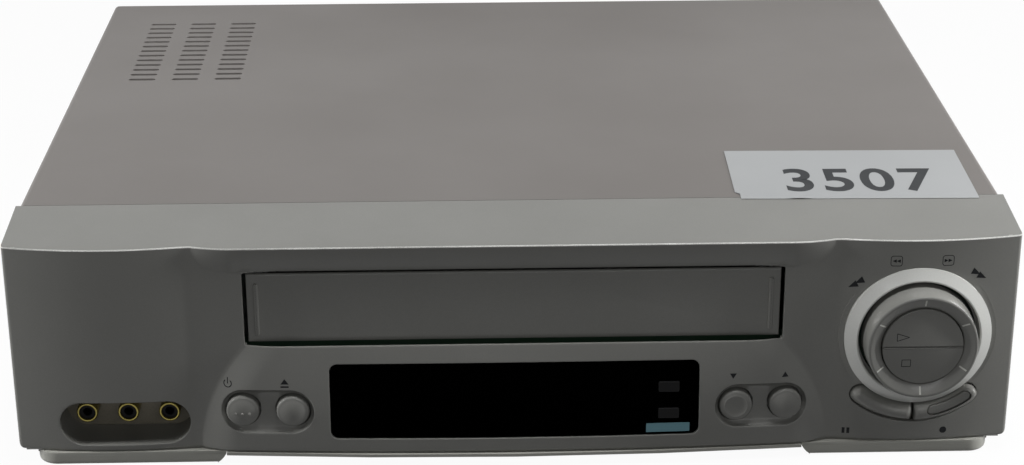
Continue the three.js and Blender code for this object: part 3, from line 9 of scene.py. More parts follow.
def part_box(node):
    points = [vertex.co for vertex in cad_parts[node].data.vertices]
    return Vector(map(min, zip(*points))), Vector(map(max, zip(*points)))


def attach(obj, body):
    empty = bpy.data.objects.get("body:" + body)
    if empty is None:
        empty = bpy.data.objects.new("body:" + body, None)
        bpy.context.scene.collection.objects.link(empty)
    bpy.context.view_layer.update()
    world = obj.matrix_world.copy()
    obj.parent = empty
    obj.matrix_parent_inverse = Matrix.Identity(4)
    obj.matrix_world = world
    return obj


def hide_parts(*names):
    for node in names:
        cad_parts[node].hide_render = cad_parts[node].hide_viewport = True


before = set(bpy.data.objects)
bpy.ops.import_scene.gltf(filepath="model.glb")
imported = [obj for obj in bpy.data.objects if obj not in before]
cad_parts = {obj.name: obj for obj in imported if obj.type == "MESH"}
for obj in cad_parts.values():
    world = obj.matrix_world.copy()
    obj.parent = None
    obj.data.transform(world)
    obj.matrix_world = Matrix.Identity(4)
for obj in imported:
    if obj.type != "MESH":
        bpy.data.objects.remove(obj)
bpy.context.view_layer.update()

# Camera: a long lens in front of the recorder, a little left of its middle, looking down on it.
# Its place and turn make the case's edges fall where the photograph has them.
camera_place = Vector((-0.018508, -0.91792, 0.410808))
yaw, pitch, roll = np.radians((1.32, -22.397, -0.199))
lens_length = 79.2
film_width = 36
ahead = np.array((np.sin(yaw) * np.cos(pitch), np.cos(yaw) * np.cos(pitch), np.sin(pitch)))
level = np.array((np.cos(yaw), -np.sin(yaw), 0))
above = np.cross(level, ahead)
side_axis = level * np.cos(roll) + above * np.sin(roll)
top_axis = above * np.cos(roll) - level * np.sin(roll)
lens = bpy.data.cameras.new("view")
lens.sensor_width = film_width
lens.lens = lens_length
camera = bpy.data.objects.new("view", lens)
camera_turn = Matrix(np.column_stack((side_axis, top_axis, -ahead)).tolist()).to_4x4()
camera.matrix_world = Matrix.Translation(camera_place) @ camera_turn
bpy.context.scene.collection.objects.link(camera)
bpy.context.scene.camera = camera
bpy.context.scene.view_settings.view_transform = "Standard"


# World: a faint even light on the object, with plain white behind it and in its reflections.
# The white is seen by the camera and by gloss and glass, and adds no light of its own.
def add(tree, kind, inputs=None, **settings):
    """Adds a shader node; inputs gives its sockets a value, or the socket that feeds them."""
    made = tree.nodes.new("ShaderNode" + kind)
    for name, value in settings.items():
        setattr(made, name, value)
    for name, value in (inputs or {}).items():
        if isinstance(value, bpy.types.NodeSocket):
            tree.links.new(value, made.inputs[name])
        else:
            made.inputs[name].default_value = value
    return made


def linear(code):
    """Linear colour, with alpha, of a six-digit sRGB code."""
    parts = np.array([int(code[i : i + 2], 16) for i in (0, 2, 4)]) / 255
    low = parts / 12.92
    high = ((parts + 0.055) / 1.055) ** 2.4
    return (*np.where(parts < 0.04045, low, high), 1)


def seen_directly(tree):
    """Socket that is 1 where the camera, a reflection or a clear piece shows the surface."""
    path = add(tree, "LightPath")
    glossy = add(tree, "Math", {0: path.outputs["Is Camera Ray"], 1: path.outputs["Is Glossy Ray"]},
                 operation="MAXIMUM")
    shown = add(tree, "Math", {0: glossy.outputs[0], 1: path.outputs["Is Transmission Ray"]},
                operation="MAXIMUM")
    return shown.outputs[0]


ambient = 0.015
world = bpy.data.worlds.new("studio")
world.use_nodes = True
sky = world.node_tree
sky_strength = add(sky, "MapRange", {"Value": seen_directly(sky), "To Min": ambient, "To Max": 1})
sky.links.new(sky_strength.outputs[0], sky.nodes["Background"].inputs["Strength"])
sky.nodes["Background"].inputs["Color"].default_value = linear("FFFFFF")
bpy.context.scene.world = world

# Lamps: a soft one above, a narrow one behind the camera for the gloss, and a tall one at each side
# that skims the bowed fields. Each has a place, an aim, a size in metres and a power in watts.
lamps = {
    "overhead": ((0.14, -0.1, 1.35), (0.03, -0.03, 0), (0.7, 0.45), 9),
    "behind_camera": ((0.14, -1.25, 0.55), (0.05, -0.1, 0.05), (0.9, 0.05), 1.5),
    "left_side": ((-0.72, -0.175, 0.3), (-0.15, -0.15, 0.05), (0.08, 0.3), 2.8),
    "right_side": ((0.72, -0.17, 0.3), (0.17, -0.15, 0.05), (0.08, 0.3), 3.8),
}
for name, (place, aim, size, watts) in lamps.items():
    light = bpy.data.lights.new(name, "AREA")
    light.shape = "RECTANGLE"
    light.size, light.size_y = size
    light.energy = watts
    lamp = bpy.data.objects.new(name, light)
    lamp.location = place
    lamp.rotation_euler = (Vector(aim) - Vector(place)).to_track_quat("-Z", "Y").to_euler()
    bpy.context.scene.collection.objects.link(lamp)

# Floor: a plain sheet of matt white paper. The camera and reflections see it pale, with the
# object's shadow on it, and as a source of light on the object it counts as darker.
floor_reach = 6
sheet_pale = "F4F4F4"
sheet_dark = "3C3C3C"
sheet_roughness = 0.9
glow_share = 0.95
floor_mesh = bpy.data.meshes.new("floor")
floor_corners = [(x * floor_reach, y * floor_reach, 0) for x, y in ((-1, -1), (1, -1), (1, 1), (-1, 1))]
floor_mesh.from_pydata(floor_corners, [], [(0, 1, 2, 3)])
floor = bpy.data.objects.new("floor", floor_mesh)
bpy.context.scene.collection.objects.link(floor)
floor_look = bpy.data.materials.new("white_floor")
floor_look.use_nodes = True
paper = floor_look.node_tree
shown = seen_directly(paper)
sheet_tone = add(paper, "Mix", {"Factor": shown, "A": linear(sheet_dark), "B": linear(sheet_pale)},
                 data_type="RGBA")
sheet = paper.nodes["Principled BSDF"]
paper.links.new(sheet_tone.outputs["Result"], sheet.inputs["Base Color"])
sheet.inputs["Roughness"].default_value = sheet_roughness
glow = add(paper, "Emission", {"Color": linear("FFFFFF"), "Strength": 1})
backed = add(paper, "MapRange", {"Value": shown, "To Max": glow_share})
lit_sheet = add(paper, "MixShader", {0: backed.outputs[0], 1: sheet.outputs[0], 2: glow.outputs[0]})
paper.links.new(lit_sheet.outputs[0], paper.nodes["Material Output"].inputs["Surface"])
floor_mesh.materials.append(floor_look)


# Front panel: one hollow moulding in silver-painted ABS, open at its back, over the front of the
# chassis. Its side fields are bowed, its lower pad stands out, and a hollow runs under its top edge.
mm = 0.001
strip_depth = 34
panel_low, panel_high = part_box("front_panel")
depth_shift = panel_high.y / mm - strip_depth
height_shift = panel_low.z / mm
half_width = panel_high.x / mm
face_height = 83.4
strip_height = 86.6
panel_wall = 2.5
flat_set = 1.5
bow_rise = 3.6
bow_middle = 152
bow_half = 38
brow_half = 120.5
brow_out = 3.7
brow_gap = 0.1
hollow_low = 72.2
hollow_high = 82.9
hollow_inner = 105
hollow_spread = 14.8
hollow_end = 16
hollow_back = 1
hollow_fade = 4
hollow_power = 1.3
pad_top = 43
pad_foot = 119.9
pad_draw = 18.7
pad_edge = 2
pad_crown = 4.9
pad_peak = 6
pad_plan = 131
pad_soft = 14
corner_round = 2.2
side_round = 1.3
edge_round = 0.7
chin_round = 1
weld = 0.000002
strip_slope = (strip_height - face_height) / (strip_depth + brow_out)


def spread(*parts):
    """Values from (start, end, steps) parts, one after another, with shared ends given once."""
    runs = [np.linspace(a, b, steps, endpoint=False) for a, b, steps in parts]
    return np.concatenate((*runs, [parts[-1][1]]))


def bowed(x):
    """Depth of the plain front: -bow_rise (1 - u^2) over a side field, u from its middle, capped."""
    u = (np.abs(x) - bow_middle) / bow_half
    inner = np.sqrt(1 - flat_set / bow_rise)
    return np.where(u < -inner, -flat_set, -bow_rise * (1 - u * u))


def pad_half(z):
    """Half width of the raised pad: pad_foot - pad_draw (z / pad_top)^2."""
    return pad_foot - pad_draw * (z / pad_top) ** 2


def pad_rise(x, z):
    """Depth of the pad's face: -flat_set - (pad_edge + pad_crown across up) (1 - (1 - end)^2)."""
    across = 1 - (x / pad_plan) ** 2
    up = 1 - ((z - pad_peak) / (pad_top - pad_peak)) ** 2
    end = np.clip((pad_half(z) - np.abs(x)) / pad_soft, 0, 1)
    return -flat_set - (pad_edge + pad_crown * across * up) * (1 - (1 - end) ** 2)


def hollow_reach(z):
    """Half width of the hollow: inner + spread sqrt(1 - drop^2), drop from 1 at its foot to 0."""
    drop = np.clip((hollow_high - z) / (hollow_high - hollow_low), 0, 1)
    return hollow_inner + hollow_spread * np.sqrt(1 - drop * drop)


def panel_face(x, z):
    """Depth of the panel's outer face: the pad low down, the bowed fields, and high up a hollow of
    foot - (brow_out + foot) (1 - (1 - lift)^hollow_power), faded out at its ends by 1 - (1 - end)^2."""
    x, z = np.broadcast_arrays(np.asarray(x, float), np.asarray(z, float))
    lift = np.clip((z - hollow_low) / (hollow_high - hollow_low), 0, 1)
    end = np.clip((hollow_reach(z) - np.abs(x)) / hollow_end, 0, 1)
    foot = (flat_set + hollow_back) * np.clip((hollow_inner - np.abs(x)) / hollow_fade, 0, 1) - flat_set
    profile = foot - (brow_out + foot) * (1 - (1 - lift) ** hollow_power)
    hollow = -flat_set + (profile + flat_set) * (1 - (1 - end) ** 2)
    on_pad = (z <= pad_top) & (np.abs(x) < pad_half(z))
    in_hollow = (z >= hollow_low) & (np.abs(x) < brow_half)
    return np.where(on_pad, pad_rise(x, z), np.where(in_hollow, hollow, bowed(x)))


def make(name, points, faces, look, soft_angle=38):
    """Makes an object from points in millimetres, closes its seams and turns its faces outward."""
    mesh = bpy.data.meshes.new(name)
    placed = np.asarray(points, float).reshape(-1, 3) + (0, depth_shift, height_shift)
    mesh.from_pydata((placed * mm).tolist(), [], faces)
    tidy = bmesh.new()
    tidy.from_mesh(mesh)
    bmesh.ops.remove_doubles(tidy, verts=tidy.verts, dist=weld)
    bmesh.ops.dissolve_degenerate(tidy, edges=tidy.edges, dist=weld)
    bmesh.ops.recalc_face_normals(tidy, faces=tidy.faces)
    tidy.to_mesh(mesh)
    tidy.free()
    mesh.materials.append(look)
    made = bpy.data.objects.new(name, mesh)
    bpy.context.scene.collection.objects.link(made)
    smooth(made, soft_angle)
    return made


def smooth(made, soft_angle):
    """Smooth shading, with the edges sharper than an angle left crisp."""
    made.data.shade_smooth()
    made.data.set_sharp_from_angle(angle=np.radians(soft_angle))


def loft(name, rings, look, soft_angle=38, closed=False):
    """Skin over rings of points, given as (ring, point, 3), with flat ends unless it is closed."""
    rings = np.asarray(rings, float)
    count, size = rings.shape[:2]
    ring = np.arange(count if closed else count - 1)[:, None]
    spot = np.arange(size)[None, :]
    after = (ring + 1) % count
    beside = (spot + 1) % size
    corners = (ring * size + spot, ring * size + beside, after * size + beside, after * size + spot)
    faces = np.stack(np.broadcast_arrays(*corners), -1).reshape(-1, 4).tolist()
    if not closed:
        faces += [list(range(size)), list(range((count - 1) * size, count * size))]
    return make(name, rings, faces, look, soft_angle)


def combine(base, tool, operation="DIFFERENCE"):
    """Cuts a tool from a piece, or joins it to the piece, and drops the tool."""
    step = base.modifiers.new("combine", "BOOLEAN")
    step.operation = operation
    step.solver = "MANIFOLD"
    step.object = tool
    bpy.context.view_layer.update()
    seen = base.evaluated_get(bpy.context.evaluated_depsgraph_get())
    whole = bpy.data.meshes.new_from_object(seen)
    whole.polygons.foreach_set("material_index", np.zeros(len(whole.polygons), np.int32))
    base.modifiers.clear()
    look = base.data.materials[0]
    base.data = whole
    whole.materials.clear()
    whole.materials.append(look)
    bpy.data.objects.remove(tool)


def finish(name, shade, second, roughness, patch, grain, bump, metal=0, specular=0.5):
    """Material in two sRGB shades that drift in soft patches with fine specks over them, with an
    uneven gloss and a fine relief. Patch and grain are sizes in millimetres. Real grain is finer
    than the render can show, so it is drawn about a millimetre coarse."""
    made = bpy.data.materials.new(name)
    made.use_nodes = True
    tree = made.node_tree
    shader = tree.nodes["Principled BSDF"]
    where = add(tree, "TexCoord").outputs["Object"]
    patches, grains = 1 / (patch * mm), 1 / (grain * mm)
    drift = add(tree, "TexNoise", {"Vector": where, "Scale": patches, "Detail": 6}).outputs["Fac"]
    specks = add(tree, "TexNoise", {"Vector": where, "Scale": grains * 4, "Detail": 3}).outputs["Fac"]
    both = add(tree, "Math", {0: drift, 1: specks}, operation="ADD").outputs[0]
    share = add(tree, "MapRange", {"Value": both, "From Min": 0.75, "From Max": 1.25}).outputs[0]
    tint = add(tree, "Mix", {"Factor": share, "A": linear(shade), "B": linear(second)}, data_type="RGBA")
    gloss = add(tree, "MapRange", {"Value": drift, "From Min": 0.3, "From Max": 0.7,
                                   "To Min": roughness * 0.85, "To Max": roughness * 1.15})
    fine = add(tree, "TexNoise", {"Vector": where, "Scale": grains, "Detail": 4}).outputs["Fac"]
    relief = add(tree, "Bump", {"Height": fine, "Strength": bump, "Distance": mm * 0.2})
    for socket, value in (("Base Color", tint.outputs["Result"]), ("Roughness", gloss.outputs[0]),
                          ("Normal", relief.outputs[0])):
        tree.links.new(value, shader.inputs[socket])
    shader.inputs["Metallic"].default_value = metal
    shader.inputs["Specular IOR Level"].default_value = specular
    return made


# Silver paint sprayed on ABS: a smooth satin coat, so that the bows and edges shade softly.
silver = finish("silver_painted_abs", "8E8E8A", "868682", 0.17, patch=55.6, grain=1.11, bump=0.05,
                specular=0.2)
row_counts = (2, 14, 14, 40)
strip_rows = 14
round_steps = 6
middle_shares = np.linspace(0, 1, 50)
soft_shares = np.linspace(0, 1, 15)[1:]
beside_shares = np.linspace(0, 1, 9)[1:]
fields = spread((brow_half + brow_gap, half_width - corner_round, 44),
                (half_width - corner_round, half_width - side_round, 8))
corner_turn = np.linspace(0, np.pi / 2, 8)
end_places = half_width - side_round + side_round * np.sin(corner_turn)[1:]


def front_rows(top):
    """Heights down the front face, closest together round the hollow's edge and the pad's top."""
    marks = (top, hollow_high, hollow_low, pad_top, chin_round)
    return spread(*zip(marks[:-1], marks[1:], row_counts))


def crease(z):
    """Half width where the pad's end lies low down, and where the hollow's end lies high up."""
    slot_share = np.clip((z - pad_top) / (hollow_low - pad_top), 0, 1)
    between = pad_half(np.minimum(z, pad_top)) * (1 - slot_share) + hollow_inner * slot_share
    high = np.minimum(hollow_reach(z), brow_half - brow_gap * 2)
    return np.where(z > hollow_low, high, between)


def stations(z):
    """Places across the right half for a row at height z, from the middle to the end."""
    line = float(crease(np.float64(z)))
    soft_from = line - pad_soft
    beside = line + (brow_half - brow_gap - line) * beside_shares
    return np.concatenate((middle_shares * soft_from, soft_from + soft_shares * pad_soft, beside,
                           fields, end_places))


def panel_rows():
    """Rows round the panel's section, from the strip's back edge over the front: (kind, value)."""
    back = [("strip", y) for y in np.linspace(strip_depth, 0, strip_rows)]
    over = [("edge", t) for t in np.linspace(0, 1, round_steps)]
    down = [("front", z) for z in front_rows(face_height - edge_round)]
    under = [("chin", t) for t in np.linspace(0, 1, round_steps)[1:]]
    return back + over + down[1:] + under + [("floor", strip_depth)]


def panel_section():
    """The panel's outside, (row, point, 3): its face, with quarter rounds r (1 - cos t) and
    r (1 - sin t) over the top edge, under the chin and round the two ends."""
    made = []
    for kind, value in panel_rows():
        height = value if kind == "front" else (0 if kind in ("chin", "floor") else hollow_high)
        across = stations(height)
        x = np.concatenate((-across[:0:-1], across))
        reach = np.abs(x)
        low = corner_round - np.sqrt(
            corner_round**2 - np.maximum(0, reach - half_width + corner_round) ** 2)
        pull = side_round - np.sqrt(
            np.maximum(0, side_round**2 - np.maximum(0, reach - half_width + side_round) ** 2))
        lip = panel_face(x, hollow_high) + pull
        top = strip_height - strip_slope * (strip_depth - lip)
        if kind == "strip":
            y = np.maximum(lip + edge_round, np.full_like(x, value))
            z = strip_height - strip_slope * (strip_depth - y)
        elif kind == "edge":
            angle = value * np.pi / 2
            y = lip + edge_round * (1 - np.sin(angle))
            z = top - edge_round * (1 - np.cos(angle))
        elif kind == "front":
            share = (value - chin_round) / (face_height - edge_round - chin_round)
            z = (low + chin_round) * (1 - share) + (top - edge_round) * share
            z = np.where(low > 0, z, value)
            y = panel_face(x, value) + pull
        elif kind == "chin":
            angle = value * np.pi / 2
            y = panel_face(x, chin_round) + pull + chin_round * (1 - np.cos(angle))
            z = low + chin_round * (1 - np.sin(angle))
        else:
            y = np.full_like(x, value)
            z = low
        made.append(np.stack((x, y, z), -1))
    return np.asarray(made)


front_panel = loft("front_moulding", panel_section().transpose(1, 0, 2), silver)
inner_half = half_width - panel_wall
overrun = 6
overlap = 1
open_back = strip_depth + overrun


def room(low, high, x, near):
    """Tool for a space behind the panel's face, open at its back, from a depth near at each x."""
    far = np.full_like(x, open_back)
    under = strip_height - panel_wall - strip_slope * strip_depth
    tops = [np.minimum(high, under + strip_slope * y) for y in (near, far)]
    floor_line = np.full_like(x, low)
    corners = ((near, floor_line), (near, tops[0]), (far, tops[1]), (far, floor_line))
    rings = np.stack([np.stack((x, y, z), -1) for y, z in corners], 1)
    return loft("tool", rings, None)


inside = spread((-inner_half, -brow_half, 30), (-brow_half, brow_half, 40), (brow_half, inner_half, 30))
plain_wall = bowed(inside) + panel_wall
brow_wall = np.where(np.abs(inside) < brow_half + overlap, hollow_back + panel_wall, plain_wall)
combine(front_panel, room(panel_wall, hollow_low - overlap, inside, plain_wall))
combine(front_panel, room(hollow_low - panel_wall, strip_height, inside, brow_wall))

# Behind the face: a boss for the dial, the walls of the jack recess and the posts for the key board,
# all moulded in one with the panel.
dial_x = 152.5
dial_z = 44.3
boss_radius = 30
boss_root = 2
boss_back = 1.5
jack_x = -148.4
jack_z = 11.6
recess_width = 49.5
recess_height = 17.7
recess_wall = 1.5
recess_back = 13.6
inside_face = -0.3
post_radius = 2.5
post_back = 11.95
posts = ((-113, 35.5), (-113, 8.5), (180, 69), (180, 8.5))


def stadium(x, z, width, height, steps=24):
    """Round-ended outline, as (point, 2), anticlockwise seen from the front."""
    angle = np.linspace(-np.pi / 2, np.pi / 2, steps)
    reach = (width - height) / 2
    end = np.stack((np.cos(angle), np.sin(angle)), -1) * height / 2
    return np.concatenate((end + (x + reach, z), -end + (x - reach, z)))


def disc(x, z, radius, steps=48):
    """Circle as an outline, anticlockwise seen from the front."""
    angle = np.linspace(0, 2 * np.pi, steps, endpoint=False)
    return np.stack((x + radius * np.cos(angle), z + radius * np.sin(angle)), -1)


def prism(outline, near, far):
    """Plain solid over an outline, from one depth to another."""
    rings = [np.column_stack((outline[:, 0], np.full(len(outline), y), outline[:, 1]))
             for y in (near, far)]
    return loft("tool", rings, None)


backs = [prism(disc(dial_x, dial_z, boss_radius), inside_face - boss_root, boss_back),
         prism(stadium(jack_x, jack_z, recess_width + recess_wall * 2, recess_height + recess_wall * 2),
               inside_face, recess_back)]
backs += [prism(disc(x, z, post_radius, 16), inside_face, post_back) for x, z in posts]
for tool in backs:
    combine(front_panel, tool, "UNION")

# Openings: the cassette slot, the window, two wells with their button holes, the dial's seat, the
# keys round it and the jacks. All are moulded in, and their mouths are softened.
slot_width = 203.2
slot_low = 43
slot_high = 72.2
slot_round = 0.6
deep = 40
window_half = 69.8
window_low = 6.2
window_high = 35.8
window_round = 3
play_gap = 0.3
well_x = 93.75
button_z = 17
button_spread = 9.53
button_radius = 6.3
button_gap = 0.6
well_width = 34.9
well_height = 17.3
well_deep = 2.8
bezel_radius = 27.9
bezel_floor = -1.4
bezel_gap = 0.08
skirt_radius = 17.5
band_outer = 36
band_end = 39
band_gap = 0.2
mouth = 0.5
recess_mouth = 0.35
ring_well = 22.2
ledge = 0.9
ledge_drop = 4
sole_middle = -1
sole_height = 7.6
sole_round = 1
sole_back = 14


def rounded(x, z, width, height, radius, steps=8):
    """Rectangle with round corners, as (point, 2), anticlockwise seen from the front."""
    quarter = np.linspace(0, np.pi / 2, steps)
    turns = (quarter[None, :] + np.arange(4)[:, None] * np.pi / 2).ravel()
    signs = np.repeat(((1, 1), (-1, 1), (-1, -1), (1, -1)), steps, axis=0)
    middle = signs * (width / 2 - radius, height / 2 - radius)
    return middle + np.stack((np.cos(turns), np.sin(turns)), -1) * radius + (x, z)


def dense(outline, step=2.5):
    """The same closed outline with a point at least every step."""
    ends = np.roll(outline, -1, axis=0)
    gaps = np.linalg.norm(ends - outline, axis=1)
    counts = np.maximum(1, np.ceil(gaps / step)).astype(int)
    parts = [a + (b - a) * np.linspace(0, 1, n, endpoint=False)[:, None]
             for a, b, n in zip(outline, ends, counts)]
    return np.concatenate(parts)


def outward(outline):
    """Unit normals of an anticlockwise outline, pointing away from its inside."""
    along = np.roll(outline, -1, axis=0) - np.roll(outline, 1, axis=0)
    normal = np.stack((along[:, 1], -along[:, 0]), -1)
    return normal / np.linalg.norm(normal, axis=1)[:, None]


def opening(outline, face, soft, levels, reach=12):
    """Tool for an opening whose mouth is softened: its rings open out by soft (1 - sin t) while
    they drop soft (1 - cos t) below the face, then go on through levels of (inset, depth)."""
    outline = dense(outline)
    normal = outward(outline)
    turn_by = np.linspace(0, np.pi / 2, 5)
    grow = list(soft * (1 - np.sin(turn_by)))
    drop = list(soft * (1 - np.cos(turn_by)))
    rings = [np.column_stack((*(outline + normal * soft).T, np.full(len(outline), -reach)))]
    for out, sink in zip(grow, drop):
        at = outline + normal * out
        rings.append(np.column_stack((*at.T, face(*at.T) + sink)))
    for inset, depth in levels:
        at = outline - normal * inset
        level = np.full(len(outline), depth) if np.isscalar(depth) else face(*at.T) + depth[0]
        rings.append(np.column_stack((*at.T, level)))
    return loft("tool", np.asarray(rings)[:, :, (0, 2, 1)], None)


def band(inner, outer, start, end, steps=40):
    """Outline of a round-ended band on an arc round the dial, angles in degrees from straight down."""
    a, b = np.radians((start - 90, end - 90))
    middle, cap = (inner + outer) / 2, (outer - inner) / 2
    sweep = np.linspace(a, b, steps)
    turns = np.linspace(0, np.pi, steps // 3)[1:-1]
    last = np.array((np.cos(b), np.sin(b))) * middle
    first = np.array((np.cos(a), np.sin(a))) * middle
    parts = (np.stack((np.cos(sweep), np.sin(sweep)), -1) * outer,
             last + cap * np.stack((np.cos(b + turns), np.sin(b + turns)), -1),
             np.stack((np.cos(sweep[::-1]), np.sin(sweep[::-1])), -1) * inner,
             first - cap * np.stack((np.cos(a + turns), np.sin(a + turns)), -1))
    return np.concatenate(parts) + (dial_x, dial_z)


def slot_face(x, z):
    """Depth of the face round the cassette slot: the panel's, and never behind its flat part."""
    return np.minimum(panel_face(x, z), -flat_set)


slot_middle = (slot_low + slot_high) / 2
slot_outline = rounded(0, slot_middle, slot_width, slot_high - slot_low, slot_round)
combine(front_panel, opening(slot_outline, slot_face, mouth / 2, [(0, deep)]))
slot_side = slot_width / 2 - slot_round
along_slot = spread((-slot_side, slot_side, 80))
gutter_front = pad_rise(along_slot, slot_low) + ledge
combine(front_panel, room(slot_low - ledge_drop, slot_middle, along_slot, gutter_front))
window_middle = (window_low + window_high) / 2
window_outline = rounded(0, window_middle, (window_half + play_gap) * 2,
                         window_high - window_low + play_gap * 2, window_round)
combine(front_panel, opening(window_outline, panel_face, mouth / 2, [(0, deep)]))
bowl_shares = np.linspace(0, 1, 9)[1:]
bowl = mouth + well_deep * np.sqrt(1 - (1 - bowl_shares) ** 2)
levels = [(share * (well_height / 2 - mouth), (sink,)) for share, sink in zip(bowl_shares, bowl)]
for side in (-1, 1):
    well = stadium(side * well_x, button_z, well_width, well_height)
    combine(front_panel, opening(well, panel_face, mouth, levels))
    for spread_by in (-button_spread, button_spread):
        hole = disc(side * well_x + spread_by, button_z, button_radius + button_gap)
        combine(front_panel, prism(hole, -deep, open_back))
dial_face = float(bowed(dial_x))
combine(front_panel, opening(disc(dial_x, dial_z, bezel_radius + bezel_gap, 128), panel_face,
                             bezel_gap, [(0, bezel_floor)]))
combine(front_panel, prism(disc(dial_x, dial_z, ring_well, 96), -deep, open_back))
combine(front_panel, opening(band(bezel_radius - play_gap, band_outer + band_gap, -band_end, band_end),
                             panel_face, mouth, [(0, deep)]))
recess = stadium(jack_x, jack_z, recess_width, recess_height, 32)
combine(front_panel, opening(recess, panel_face, recess_mouth, [(0, deep)]))
sole = rounded(0, sole_middle, (half_width - panel_wall * 2) * 2, sole_height, sole_round)
combine(front_panel, prism(sole, sole_back, deep))
smooth(front_panel, 34)
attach(front_panel, "case")
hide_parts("front_panel")

# Along the front of the top edge a highlight is painted on as a bright line: the faces near the top
# that look forward and up get a pale paint, in drifting patches of two shades.
highlight_reach = edge_round * 1.5
highlight_forward_share = 0.25
highlight_upward_share = 0.35
# Pale paint for the painted highlight, far brighter than the silver it lies on.
edge_highlight = finish("painted_edge_highlight", "F0F0EC", "A8A8A4", 0.18, patch=22.2, grain=1.11, bump=0.05,
                specular=0.28)
front_panel.data.materials.append(edge_highlight)
faces_of_panel = front_panel.data.polygons
middles = np.zeros(len(faces_of_panel) * 3)
normals = np.zeros(len(faces_of_panel) * 3)
faces_of_panel.foreach_get("center", middles)
faces_of_panel.foreach_get("normal", normals)
middles, normals = middles.reshape(-1, 3), normals.reshape(-1, 3)
# The painted highlight goes on the faces near the top that face forward and up.
near_top = middles[:, 2] / mm - height_shift > face_height - highlight_reach
highlight_faces = near_top & (normals[:, 1] < -highlight_forward_share) & (normals[:, 2] > highlight_upward_share)
faces_of_panel.foreach_set("material_index", highlight_faces.astype(np.int32))


# Cassette door: a moulded flap on two pins at its top edge, which a cassette pushes in. It is in
# the front panel's paint, with a rounded top edge and an upright rib near each end.
door_half = 100.3
door_front = 0.5
door_thick = 2
door_low = 43.6
door_high = 71.4
hinge_drop = 1.05
hinge_z = door_high - hinge_drop
leaf_foot = 2
leaf_round = 0.5
leaf_trim = 0.4
rib_inset = 3.6
rib_width = 1.8
rib_rise = 1.2
rib_margin = 2.8
rib_soft = 0.35
rib_root = 0.5


def hang(piece, body, slot, *nodes):
    """Puts a piece on its body, in place of its CAD nodes. Its slot is not used."""
    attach(piece, body)
    if nodes:
        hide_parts(*nodes)


def softened(corners, radius, steps=5, closed=True):
    """Corners of a flat outline rounded off: (1-t)^2 a + 2t(1-t) b + t^2 c round each corner b."""
    corners = np.asarray(corners, float)
    before = np.roll(corners, 1, axis=0) - corners
    after = np.roll(corners, -1, axis=0) - corners
    lengths = [np.linalg.norm(leg, axis=1) for leg in (before, after)]
    reach = np.minimum(np.broadcast_to(radius, len(corners)), np.minimum(*lengths) * 0.49)
    if not closed:
        reach = np.where((np.arange(len(corners)) % (len(corners) - 1)) == 0, 0, reach)
    t = np.linspace(0, 1, steps)[None, :, None]
    starts, ends = (
        (corners + leg / length[:, None] * reach[:, None])[:, None]
        for leg, length in zip((before, after), lengths)
    )
    curve = (1 - t) ** 2 * starts + 2 * t * (1 - t) * corners[:, None] + t**2 * ends
    return curve.reshape(-1, 2)


def bar(name, low, high, soft, look, along=0):
    """Block with its long edges rounded off, between two corners in millimetres."""
    low, high = np.asarray(low, float), np.asarray(high, float)
    others = [axis for axis in range(3) if axis != along]
    (a0, b0), (a1, b1) = low[others], high[others]
    section = softened(((a0, b0), (a1, b0), (a1, b1), (a0, b1)), soft)
    rings = np.zeros((2, len(section), 3))
    rings[:, :, others] = section
    rings[:, :, along] = np.array((low[along], high[along]))[:, None]
    return loft(name, rings, look)


def turned(name, profile, x, z, look, steps=96, closed=False, soft_angle=30):
    """Lathe work about an axis from front to back: profile of (radius, depth) turned round."""
    profile = np.asarray(profile, float)
    angle = np.linspace(0, 2 * np.pi, steps, endpoint=False)
    radius, depth = profile[:, 0], profile[:, 1]
    if closed:
        rings = np.stack((x + np.outer(np.cos(angle), radius), np.tile(depth, (steps, 1)),
                          z + np.outer(np.sin(angle), radius)), -1)
        return loft(name, rings, look, soft_angle, closed=True)
    rings = np.stack((x + np.outer(radius, np.cos(angle)), np.repeat(depth[:, None], steps, 1),
                      z + np.outer(radius, np.sin(angle))), -1)
    return loft(name, rings, look, soft_angle)


def plate(name, outline, levels, look, step=2.5):
    """Flat-ended solid over an outline, through levels of (inset, depth)."""
    outline = dense(outline, step)
    normal = outward(outline)
    rings = [np.column_stack((*(outline - normal * inset).T, np.full(len(outline), depth)))
             for inset, depth in levels]
    return loft(name, np.asarray(rings)[:, :, (0, 2, 1)], look)


def eased(front, back, soft, steps=6):
    """Levels of a plate whose front edge is rounded: (soft (1 - cos t), front + soft (1 - sin t))."""
    t = np.linspace(0, np.pi / 2, steps)
    rise = np.column_stack((soft * (1 - np.cos(t)), front + soft * (1 - np.sin(t))))
    return [(0, back), *rise.tolist()]


door_back = door_front + door_thick
arc = np.linspace(0, np.pi, 12)
leaf = np.concatenate((
    softened(((door_front, door_low + leaf_foot), (door_front, door_low), (door_back, door_low),
              (door_back, door_low + leaf_foot)), leaf_round, closed=False),
    np.stack((door_front + door_thick / 2 * (1 + np.cos(arc)),
              hinge_z + door_thick / 2 * np.sin(arc)), -1),
))
leaf_half = door_half - leaf_round
door_plan = spread((-door_half, -leaf_half, 3), (-leaf_half, leaf_half, 2), (leaf_half, door_half, 3))
past = np.maximum(0, np.abs(door_plan) - door_half + leaf_round)
trim = leaf_trim * (1 - np.sqrt(np.maximum(0, 1 - (past / leaf_round) ** 2)))
leaf_rings = np.stack((
    np.repeat(door_plan[:, None], len(leaf), 1),
    np.maximum(leaf[None, :, 0], door_front + trim[:, None]),
    np.repeat(leaf[None, :, 1], len(door_plan), 0),
), -1)
door = loft("door_leaf", leaf_rings, silver)
